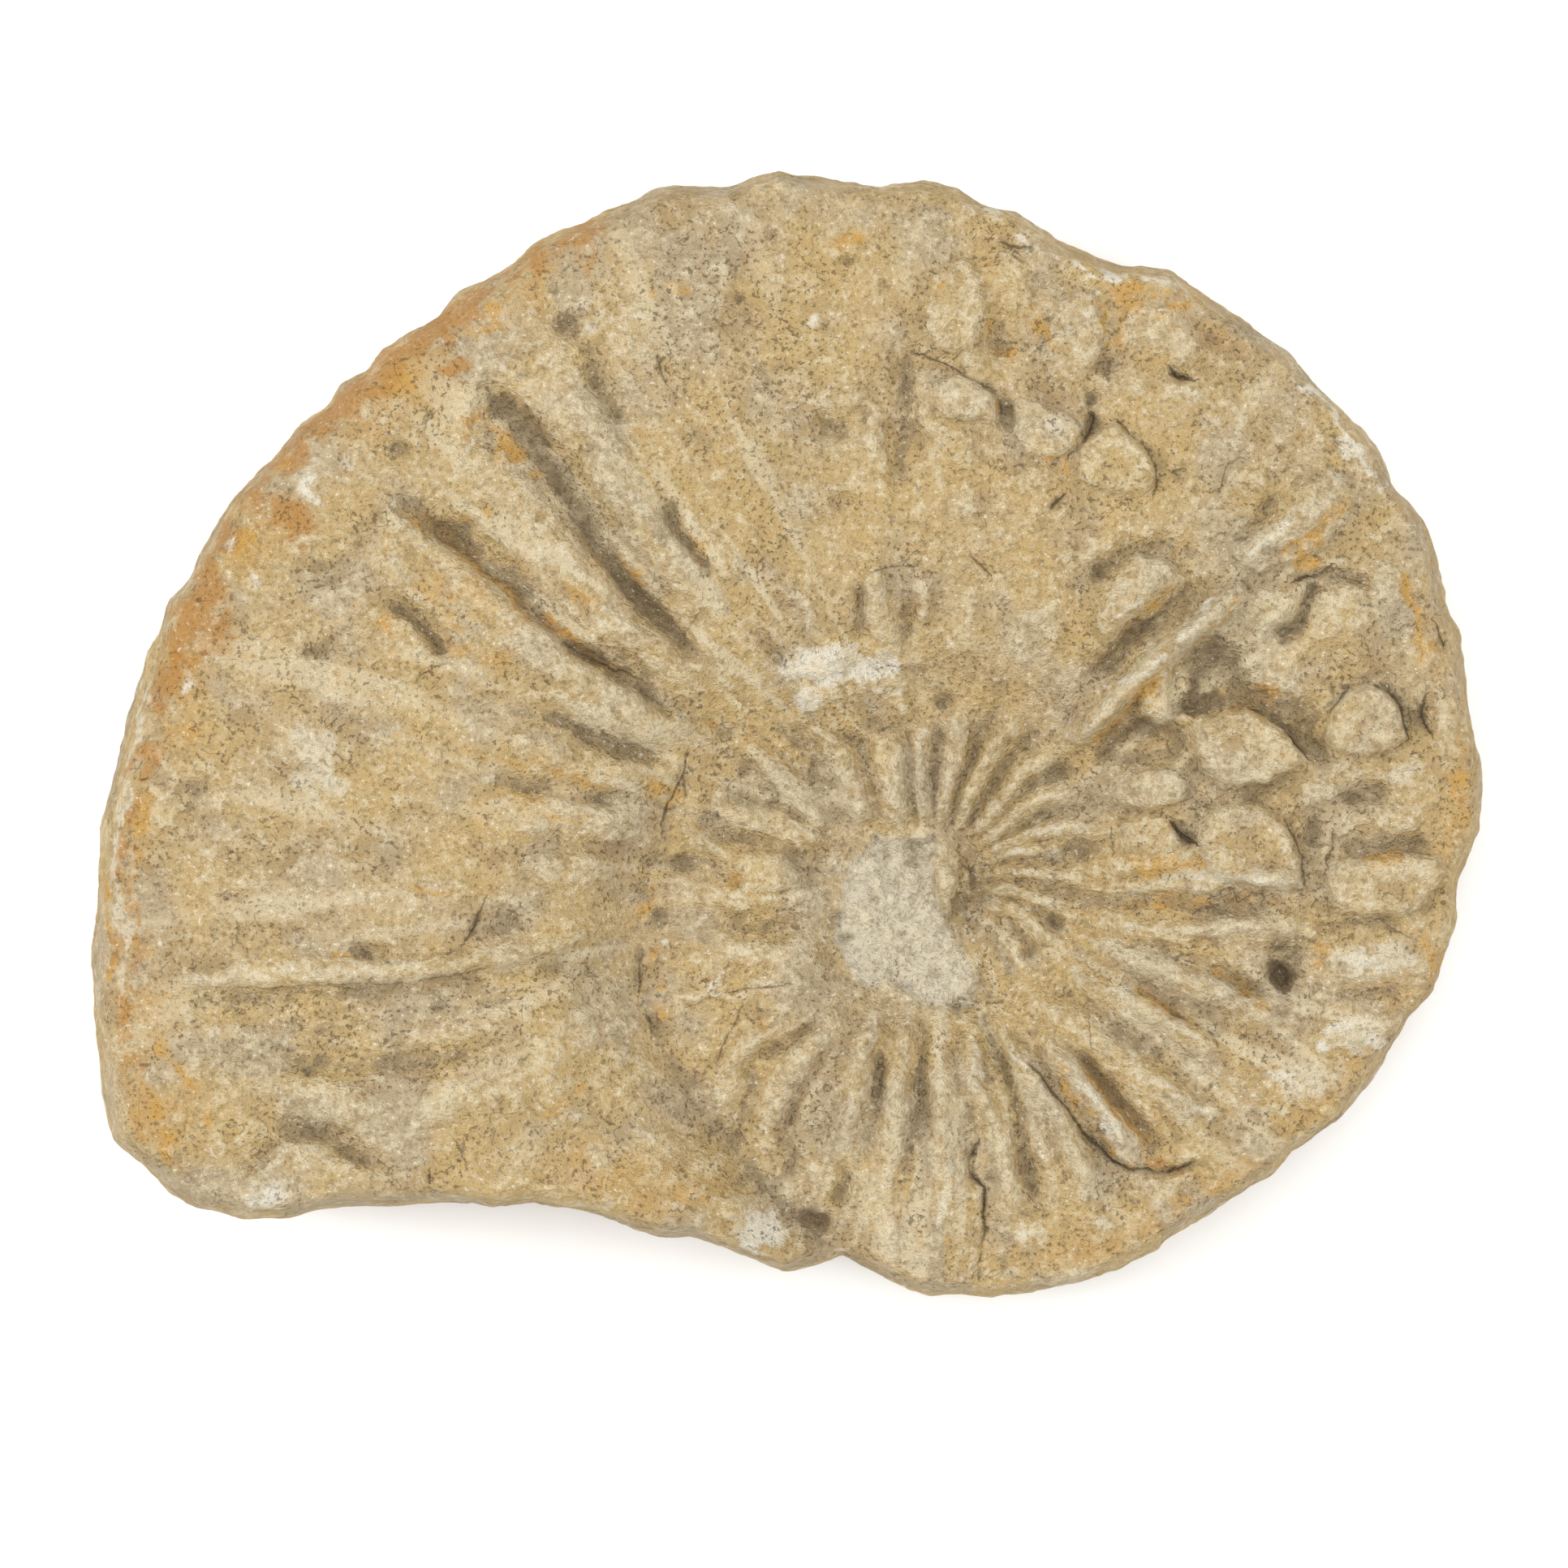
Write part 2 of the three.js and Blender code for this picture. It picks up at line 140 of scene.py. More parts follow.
# %% Lay out the outline
UMBILICUS = (34.0, -28.5)
OUTLINE_SPREAD = 1.016
OUTLINE = [
    (136.9, -10), (134.6, 4), (133, 14), (132.2, 20), (129.8, 25), (128.1, 30), (127.3, 37), (125.3, 42),
    (122, 46), (119.3, 48.5), (116.2, 56), (113, 60), (107, 66), (103, 70.3), (98.5, 75.5), (95, 78),
    (90, 81.6), (84, 85), (79, 89), (75, 91.5), (70, 92.6), (66, 92.4), (60, 94.6), (55, 96.5), (49, 100.2),
    (45, 103), (38, 105), (33, 108), (26, 109.2), (18, 108), (10, 109.3), (3, 110.2), (-2, 110.8),
    (-7, 110), (-12, 107.9), (-20, 107.9), (-26, 107.4), (-31, 104.8), (-36, 103.4), (-40, 101),
    (-45, 99.6), (-50, 97), (-54, 92.8), (-60, 89.5), (-65, 87.2), (-69, 82.2), (-74, 80), (-80, 76.3),
    (-83.5, 71.8), (-88, 69.3), (-90, 64.8), (-97, 60.2), (-100, 56.2), (-105, 51), (-109, 47),
    (-112.6, 40.6), (-116, 35.8), (-117.6, 31), (-122, 26.4), (-123.4, 21.5), (-126, 16), (-127.5, 10.6),
    (-130, 3), (-132, -5), (-134.4, -16), (-135.4, -27), (-136.2, -37), (-136.9, -43), (-136.2, -55),
    (-134.5, -70), (-132.4, -79.3), (-127, -84), (-123, -88), (-117.5, -92.4), (-112, -93.5), (-107, -95.2),
    (-97, -94.7), (-92, -92.8), (-80, -92.6), (-70, -92), (-62, -91.8), (-58, -92.8), (-50, -91.7),
    (-45, -92.5), (-38, -93.5), (-31, -96.6), (-25, -98.6), (-19, -98.7), (-10, -101.6), (-6, -103.2),
    (-1, -105.2), (5, -104.4), (10.5, -102.6), (15, -105), (22, -108.4), (27, -110.5), (33, -110.3),
    (40, -110.8), (50, -109.4), (57, -108), (65, -105.2), (72, -102), (79, -97), (85, -92.6), (91, -89.4),
    (96, -86.3), (99.5, -82), (104, -79), (109, -75.6), (113, -70.5), (116.5, -65), (120, -60),
    (123, -55.2), (127.3, -51), (129.2, -44), (131.5, -37), (132.1, -28), (134.5, -22.8), (136.2, -19),
]
STEP = 0.5  # degrees between two looked-up directions


def spread(points):
    """The outline's points, spread from the axis of the view."""
    axis = np.array(VIEW_AXIS)
    return axis + (np.array(points, float) - axis) * OUTLINE_SPREAD


def reach_from(middle, points):
    """The distance from a point inside to a closed line, in every direction from -180 degrees."""
    offsets = np.vstack([points, points[:1]]) - np.array(middle)
    fine = np.concatenate([np.linspace(a, b, 12, endpoint=False) for a, b in zip(offsets, offsets[1:])])
    angles = np.degrees(np.arctan2(fine[:, 1], fine[:, 0]))
    order = np.argsort(angles)
    wanted = np.arange(-180, 180, STEP)
    return np.interp(wanted, angles[order], np.hypot(*fine[order].T), period=360)


def look_up(table, degrees):
    """Reads a table of directions made by reach_from at any direction."""
    wanted = np.arange(-180, 180, STEP)
    return np.interp(degrees, wanted, table, period=360)


edge_points = spread(OUTLINE)
edge_reach = reach_from(UMBILICUS, edge_points)
print("the outline is", np.round(np.ptp(edge_points, axis=0), 1), "mm")

# %% [markdown]
# A shell like this grows by adding whorls that overlap the ones inside. Each whorl starts at a seam,
# climbs a short wall, is highest before its middle and falls gently to its outer edge. So the height
# of the bare coil is worked out from two things: how many degrees the shell has wound so far, and how
# far across the whorl a point is.

# %% Describe the coil
MOUTH = 252.0  # degrees, the direction in which the last whorl ends
SEAM = [  # degrees wound, distance of the seam from the umbilicus
    (-108, 4), (-7, 4), (73, 6.8), (115, 11.6), (143, 17.5), (164, 22.9), (183, 25), (204, 28.4),
    (222, 29.4), (250, 27), (282, 28), (335, 27.5), (365, 28), (397, 31), (416, 34), (443, 34.7),
    (464, 38.6), (485, 42), (500, 51), (507, 57), (532, 59.6), (548, 64.7), (574, 67.5), (597, 71),
    (612, 78),
]
CREST_HEIGHT = [
    (-108, 41), (0, 43), (90, 46), (180, 53), (220, 56), (252, 54), (300, 52), (360, 54), (450, 62),
    (540, 70), (612, 71),
]
SEAM_HEIGHT = [
    (-108, 42), (0, 42), (60, 43), (90, 45), (130, 47.4), (180, 49), (250, 48.4), (300, 46.4), (360, 46),
    (450, 50), (510, 55), (540, 56), (580, 54), (612, 50),
]
CREST_SHARE, EDGE_FALL, BODY_BREADTH, NUCLEUS_DOME = 0.42, 4.0, 104.0, 2.0


def softened(pairs, spread_degrees):
    """A table of degree and value pairs as a smooth curve, one value for each degree."""
    degrees = np.arange(-MOUTH / 2, 640)
    values = np.interp(degrees, *zip(*pairs))
    window = np.hanning(2 * spread_degrees + 1)
    padded = np.pad(values, spread_degrees, mode="edge")
    smooth = np.convolve(padded, window / window.sum(), mode="valid")
    return lambda at: np.interp(at, degrees, smooth)


seam_at = softened(SEAM, 6)
crest_at = softened(CREST_HEIGHT, 25)
foot_at = softened(SEAM_HEIGHT, 20)


def winding(x, y):
    """Polar place round the umbilicus: distance, and degrees from -108 to 252."""
    dx, dy = x - UMBILICUS[0], y - UMBILICUS[1]
    turn = np.degrees(np.arctan2(dy, dx))
    return np.hypot(dx, dy), np.where(turn < MOUTH - 360, turn + 360, turn)


def coil_height(x, y):
    """The height of the bare coil, with no rib on it."""
    distance, turn = winding(x, y)
    inner_seam, outer_seam = seam_at(turn), seam_at(turn + 360)
    last = distance >= outer_seam
    wound = np.where(last, turn + 360, turn)
    inner = np.where(last, outer_seam, inner_seam)
    broad = np.where(turn > MOUTH - 70, BODY_BREADTH, 0)
    outer = np.where(last, np.maximum(look_up(edge_reach, turn), inner + broad), outer_seam)
    foot, crest = foot_at(wound), crest_at(wound)
    edge = np.where(last, crest - EDGE_FALL, foot_at(turn + 360))
    across = (distance - inner) / np.maximum(outer - inner, 1)
    wall = foot + (crest - foot) * (1 - np.abs(1 - across / CREST_SHARE) ** 2.4)
    fall = crest - (crest - edge) * (np.clip((across - CREST_SHARE) / (1 - CREST_SHARE), 0, 2)) ** 2
    height = np.where(across < CREST_SHARE, wall, fall)
    nucleus = foot_at(turn) + NUCLEUS_DOME * (1 - distance / inner_seam)
    return np.where(distance < inner_seam, nucleus, height)


print("the coil is", round(float(coil_height(np.array([-80.0]), np.array([-10.0]))[0]), 1), "mm high")

# %% [markdown]
# Everything that stands on the coil or is sunk in it is one of three forms: a stroke along a line, such
# as a rib, a groove or a crack; an oval, such as a lump or a hollow; or a plate, which is a flat piece
# with an outline of its own. Each fades out smoothly towards its edge. Only the points near a form are
# worked on, which keeps the script quick.

# %% Define strokes and ovals


def fade(share):
    """One inside, falling smoothly to nothing where share reaches 1."""
    share = np.clip(share, 0, 1)
    return 1 - share * share * (3 - 2 * share)


def from_line(x, y, line):
    """How far points are from a line of straight stretches, on which side, and how far along it."""
    nearest, side, along = np.full(x.shape, np.inf), np.ones(x.shape), np.zeros(x.shape)
    lengths = [math.dist(a, b) for a, b in zip(line, line[1:])]
    start = 0.0
    for (ax, ay), (bx, by), length in zip(line, line[1:], lengths):
        dx, dy = bx - ax, by - ay
        share = np.clip(((x - ax) * dx + (y - ay) * dy) / length**2, 0, 1)
        px, py = x - ax - share * dx, y - ay - share * dy
        away = np.hypot(px, py)
        closer = away < nearest
        nearest = np.where(closer, away, nearest)
        side = np.where(closer, np.where(dx * py - dy * px < 0, -1.0, 1.0), side)
        along = np.where(closer, (start + share * length) / sum(lengths), along)
        start += length
    return nearest, side, along


def near_points(x, y, points, margin):
    """The numbers of the points that lie in a form's box, grown by a margin."""
    lows, highs = np.min(points, axis=0) - margin, np.max(points, axis=0) + margin
    return np.nonzero((x > lows[0]) & (x < highs[0]) & (y > lows[1]) & (y < highs[1]))[0]


def strokes(x, y, rows, widen=1.3, power=0.0, tip=0.3, lean=0.0):
    """The highest of a family of strokes: each row is half breadths at both ends, height and line.

    A power of 1 makes a roof, 2 makes a round rib, and none a soft swell. Each end sinks to the
    tip's share of the height. A lean makes the side on the line's left hand steep.
    """
    total = np.zeros(x.shape)
    for start_half, end_half, height, line in rows:
        picked = near_points(x, y, line, widen * max(start_half, end_half))
        away, side, along = from_line(x[picked], y[picked], line)
        share = away / (widen * (start_half + (end_half - start_half) * along) * (1 - lean * side))
        profile = np.clip(1 - share**power, 0, 1) if power else fade(share)
        run_out = tip + (1 - tip) * (1 - fade(np.minimum(along, 1 - along) / 0.16))
        total[picked] = np.maximum(total[picked], height * profile * run_out)
    return total


def ovals(x, y, rows, flat=0.5):
    """The highest of a family of ovals: each row is the middle, half breadths, turn and height."""
    total = np.zeros(x.shape)
    for cx, cy, half_x, half_y, turn, height in rows:
        picked = near_points(x, y, [(cx, cy)], 1.5 * max(half_x, half_y))
        c, s = math.cos(math.radians(turn)), math.sin(math.radians(turn))
        dx, dy = x[picked] - cx, y[picked] - cy
        share = np.hypot((dx * c + dy * s) / half_x, (dy * c - dx * s) / half_y)
        grown = height * fade((share - flat) / (1.18 - flat))
        total[picked] = np.maximum(total[picked], grown)
    return total


print("strokes and ovals are ready")

# %% Define plates


def inside(x, y, outline, softness):
    """One inside a closed line, nothing outside, and between them a soft edge."""
    closed = [*outline, outline[0]]
    away, _, _ = from_line(x, y, [p for p, q in zip(closed, closed[1:] + [None]) if p != q])
    crossings = np.zeros(x.shape, int)
    for (ax, ay), (bx, by) in zip(closed, closed[1:]):
        if ay != by:
            straddles = (ay > y) != (by > y)
            crossings += straddles & (x < (bx - ax) * (y - ay) / (by - ay) + ax)
    return fade(0.5 - np.where(crossings % 2 == 1, away, -away) / softness)


def plates(x, y, rows, softness):
    """The highest of a family of flat pieces: each row is a height and an outline."""
    total = np.zeros(x.shape)
    for height, outline in rows:
        picked = near_points(x, y, outline, softness)
        grown = height * inside(x[picked], y[picked], outline, softness)
        total[picked] = np.maximum(total[picked], grown)
    return total


print("plates are ready")

# %% [markdown]
# The ribs. On the inner whorl they are short and close, and the broad ones are given as outlines, with
# the crust of worm tubes that lies over their ends. On the older half of the last whorl, at the lower
# right, they are long and sharp. At the right only stubs are left between broken lumps, and on the body
# chamber at the left they are broad, worn ridges with deep grooves between them.

# %% List the ribs
INNER_RIBS = [  # half breadth at the inner and outer end, height, crest line
    (1.2, 2.4, 1.2, [(36.5, -35), (40, -37.4), (44, -41), (48, -46)]),
    (1.2, 2.4, 2.2, [(38.4, -33.4), (42, -34), (46, -35.4), (50, -38.4), (54, -41.6)]),
    (0.9, 2.2, 2.0, [(39.5, -30.8), (43, -30.6), (47, -31.6), (50, -32.6), (57, -35)]),
    (0.9, 2.2, 2.0, [(40, -27.5), (43, -27), (48, -27.2), (54, -28), (60, -28)]),
    (0.9, 1.6, 2.0, [(40, -24.6), (44, -23.2), (49, -22.6), (54, -21.5)]),
    (0.9, 2.0, 2.2, [(39, -23.4), (43, -21.4), (48, -19.6), (53, -18.2), (59, -18)]),
    (1.1, 2.8, 2.6, [(38, -21.6), (42, -18.2), (46, -15), (51, -12), (57, -10.8)]),
    (1.2, 2.8, 2.8, [(36.6, -19.6), (40, -15.5), (44, -11), (48, -7), (52.4, -4)]),
    (1.2, 3.0, 2.8, [(33.5, -18), (35.5, -13), (38, -8), (41, -3), (44.6, 3)]),
    (1.3, 3.2, 2.8, [(29.8, -17.6), (31, -12), (32.5, -6), (33.5, 0), (34.6, 6)]),
    (1.4, 2.4, 2.2, [(26.8, -17), (26.2, -12), (25.6, -5), (26, 3)]),
    (1.4, 2.2, 1.6, [(6, -18), (2, -13), (-2, -8), (-5, -4), (-9, 0)]),
    (1.0, 1.4, 1.0, [(1, -7.4), (-2, -5), (-5, -3)]),
    (2.6, 3.4, 1.2, [(8, -33), (-4, -32), (-14, -31), (-25, -31)]),
    (3.2, 4.2, 1.0, [(8, -42), (-8, -43), (-22, -43.5)]),
    (2.5, 3.5, 0.8, [(6, -47), (-8, -49.5), (-24, -52)]),
]
PETALS = [  # height and outline of the broad ribs of the inner whorl
    (2.6, [(16, 0.4), (16.4, -6), (18, -11), (19.6, -17), (22.4, -17), (23.4, -12), (23.4, -4), (22, 1)]),
    (2.8, [(4, 2.4), (6, -2), (8.4, -7), (10.4, -12.4), (13.4, -17), (16, -15.6), (14.6, -9), (13, -4),
           (9.6, 0)]),
    (2.4, [(-9.4, 0), (-7.4, -4), (-3.4, -8.6), (-1, -12), (2, -15.6), (5, -19), (8, -18), (5, -12.6),
           (1.6, -8), (-2, -4.6), (-5.6, -2)]),
    (2.6, [(-14.4, -10), (-8, -13.6), (-3, -14.4), (2, -17), (7, -21), (3, -23.4), (-4, -20.6),
           (-10, -18.6), (-15, -14)]),
    (2.6, [(-20, -17.6), (-15, -19.6), (-9, -22.4), (-5, -22.6), (-0.6, -23.4), (3, -27.6), (2, -30.4),
           (-9, -30.2), (-10.6, -27), (-14, -23.2), (-19, -21)]),
    (1.4, [(1, 4), (0, 9), (5, 10.6), (12, 11.6), (20, 13), (24, 11), (24.6, 4.4), (21, 2), (16.4, 4.6),
           (14.6, 0), (9, 0), (5, 2)]),
]
LOWER_RIBS = [
    (2.2, 3.6, 2.6, [(59, -40), (66, -43), (74, -46), (83, -50), (91, -54), (99, -57.5)]),
    (2.4, 3.8, 2.8, [(55, -46), (62, -50), (70, -54), (78, -58), (86, -61.5)]),
    (2.4, 4.2, 3.0, [(50, -53), (58, -58), (63, -61), (70, -66), (77, -71), (81, -75)]),
    (2.0, 3.3, 3.6, [(51, -60), (56, -66), (60, -71), (64, -76), (67, -81), (69, -84.5)]),
    (2.0, 3.0, 2.8, [(41, -57), (44, -62), (48, -67), (52, -73), (55, -78), (57, -83), (59, -91)]),
    (1.8, 2.4, 2.2, [(36, -58), (36, -63), (37, -68), (39, -74), (42, -78), (43, -84), (44, -90),
                     (43, -97)]),
    (2.4, 3.6, 2.0, [(30, -56), (30, -65), (30, -75), (31, -83), (31, -97)]),
    (1.8, 2.6, 2.3, [(24, -55), (22.5, -62), (21.5, -70), (20.5, -77), (20, -86)]),
    (1.9, 3.2, 2.5, [(17, -54), (15, -62), (13, -70), (11, -77), (10, -85)]),
    (2.0, 3.4, 2.2, [(8, -57), (4, -63), (0, -68), (-3, -73), (-5, -78)]),
    (2.0, 2.6, 1.6, [(-1, -53), (-6, -59), (-12, -66), (-15, -74)]),
]
RIGHT_RIBS = [
    (2.0, 2.2, 4.2, [(54.6, -1.4), (62, 5), (70, 12), (78, 19.4), (87, 27.6)]),
    (2.6, 2.8, 2.0, [(63.6, 22), (68, 27), (73, 32.6)]),
    (2.8, 3.2, 2.4, [(90.6, 35.6), (97, 40), (105, 46.4)]),
    (3.0, 3.0, 2.4, [(62, -26), (72, -25), (80, -24.6), (88, -25.5)]),
    (1.7, 2.0, 2.4, [(61, -29.8), (70, -29.8), (80, -29.2), (90, -28.4), (101.5, -29)]),
    (2.0, 2.0, 2.0, [(61, -35), (66, -37.6), (72, -38.8), (78, -38.8), (85, -37.4), (97, -36.2),
                     (103, -38)]),
    (2.6, 2.8, 2.4, [(17, 31), (18, 25), (19.5, 18)]),
    (1.8, 2.0, 1.4, [(27, 30), (26, 23)]),
    (1.6, 2.2, 1.5, [(17, 65), (16, 57)]),
    (1.6, 1.6, 1.6, [(79, -3), (81, 1), (82.4, 4)]),
]
BODY_RIDGES = [
    (2.6, 4.0, 2.6, [(-17, 27), (-22, 33), (-28, 41), (-33, 49), (-38, 58), (-43, 64), (-47, 70)]),
    (3.0, 5.4, 2.8, [(-20, 12), (-27, 18), (-33, 25), (-38, 31), (-43, 38), (-48, 45), (-55, 52),
                     (-63, 59)]),
    (2.0, 4.6, 1.8, [(-22, 2), (-32, 7), (-44, 13), (-56, 22), (-66, 31)]),
    (1.6, 2.4, 1.2, [(-72, 24), (-77, 30), (-80, 36)]),
    (2.0, 3.2, 1.5, [(-24, -1), (-36, 3.4), (-48, 7)]),
    (2.4, 3.0, 1.6, [(-27, -8), (-38, -7), (-52, -4)]),
    (2.4, 4.0, 1.6, [(-28, -17), (-40, -18), (-54, -17)]),
    (1.8, 2.6, 1.6, [(-34, -27.5), (-42, -26), (-50, -24.5)]),
    (2.2, 3.0, 0.9, [(-38, -39), (-47, -41), (-56, -43), (-64, -45.4), (-72, -46.6), (-82, -46.6),
                     (-94, -46)]),
    (3.0, 4.5, 1.4, [(-40, -58), (-56, -66), (-72, -72)]),
]
print(sum(map(len, (INNER_RIBS, PETALS, LOWER_RIBS, RIGHT_RIBS, BODY_RIDGES))), "ribs")

# %% [markdown]
# The grooves between ribs, and the cracks. Those of the body chamber have one steep wall and one gentle
# one, as where a rib is undercut, so they are worked out with a lean. A crack is a groove too narrow
# for its walls to show, so the material later paints the shade in it as a dark line.

# %% List the grooves
BODY_GROOVES = [  # half breadth at both ends, depth, line; the line's left hand is the steep side
    (1.4, 2.6, 1.4, [(-21, 17), (-26, 21), (-31, 28), (-36, 34), (-41, 42), (-45, 48), (-50, 55), (-55, 62),
                     (-60, 66.5)]),
    (2.0, 3.4, 4.4, [(-19, 4), (-26, 6.6), (-31, 10), (-36, 14), (-43, 17.6), (-50, 24), (-56, 30),
                     (-62, 35), (-68, 39.4), (-75, 44.6)]),
    (1.5, 2.6, 3.4, [(-67, 15.4), (-70, 19.4), (-74, 23), (-79, 25.4)]),
    (1.6, 2.4, 2.6, [(-24, -5.4), (-29, -5), (-33, -3.4), (-39, -0.4), (-43, 2.2), (-50, 4.4)]),
    (1.8, 2.4, 2.2, [(-33, -14.4), (-38, -13), (-46, -11.6), (-54, -10), (-58, -8)]),
    (1.6, 2.4, 1.5, [(-31, -23), (-40, -22.6), (-47, -22.4), (-55, -24)]),
    (2.6, 4.0, 1.4, [(-55, -62), (-75, -64), (-90, -64), (-105, -62.6), (-116, -61)]),
    (2.0, 3.4, 3.0, [(-79, -84.5), (-86, -82), (-92, -79), (-101, -75.5)]),
    (1.6, 2.6, 2.0, [(-100, -79), (-108, -86)]),
    (2.0, 2.6, 2.4, [(-33, 61), (-36, 66), (-40, 74)]),
    (1.2, 1.6, 2.6, [(-15, 30.6), (-18, 35), (-22, 40), (-25, 47)]),
]
GROOVES = [
    (2.6, 3.0, 2.2, [(58, 11), (64, 15), (70, 21), (76, 26), (82, 32)]),
    (2.0, 2.4, 1.8, [(59, 29), (63, 33), (67, 37), (78, 37)]),
    (1.8, 2.2, 1.8, [(86, 37), (91, 40), (97, 46)]),
    (1.6, 2.2, 2.2, [(107, -21.5), (116, -21.5), (127, -20.5)]),
    (1.4, 2.2, 2.2, [(109, -12.5), (114, -11.6), (119, -9.6)]),
    (1.6, 2.2, 1.6, [(62, -33.4), (75, -33.6), (86, -34), (98, -33.4)]),
    (1.5, 2.0, 1.4, [(104, -38), (113, -37), (122, -38)]),
    (1.4, 1.8, 1.4, [(108, -50.5), (116, -51.5), (124, -51)]),
    (1.4, 2.2, 2.2, [(104.5, 31.5), (103, 28), (101, 23), (96, 19)]),
    (1.2, 1.4, 1.6, [(105, 31.8), (109, 31.6), (114, 29.4)]),
    (2.6, 3.2, 2.4, [(22, 47), (22.5, 60), (23.5, 78)]),
    (1.2, 1.4, 1.6, [(14.5, 20), (14.2, 30)]),
    (1.4, 1.6, 1.4, [(22.8, 20), (24, 29)]),
    (1.6, 3.2, 3.0, [(56, -61), (63, -70), (68, -77), (74, -84)]),
    (1.4, 2.2, 2.2, [(39, -56), (42, -62), (44, -68), (45, -75), (46, -80), (48, -86), (50, -94)]),
    (1.2, 1.8, 1.8, [(17, -61), (18, -66), (18, -74)]),
    (1.2, 2.0, 1.8, [(27, -62), (27, -70), (27, -78)]),
    (1.4, 2.0, 2.0, [(2, -71), (-1, -78), (1, -84), (2, -89)]),
    (1.4, 2.0, 1.6, [(10, -84), (11, -88), (9, -93)]),
    (1.4, 2.4, 2.0, [(-8, -65), (-7, -69), (-9, -74), (-12, -81)]),
    (1.2, 1.8, 1.4, [(6, -57), (0, -61), (-6, -64.5)]),
    (1.4, 2.0, 1.8, [(64, -47.5), (72, -52), (80, -56.5), (88, -60)]),
    (1.4, 2.0, 2.0, [(60, -57), (70, -62), (78, -68), (84, -73)]),
    (1.2, 2.0, 1.6, [(70, -40.5), (82, -45), (90, -49.5), (97, -53)]),
    (3.0, 3.4, 1.0, [(2, -37.6), (-8, -37.8), (-18, -38)]),
    (1.2, 1.6, 1.4, [(-7, 21), (-4, 17), (-1, 13)]),
]
print(len(BODY_GROOVES + GROOVES), "grooves")

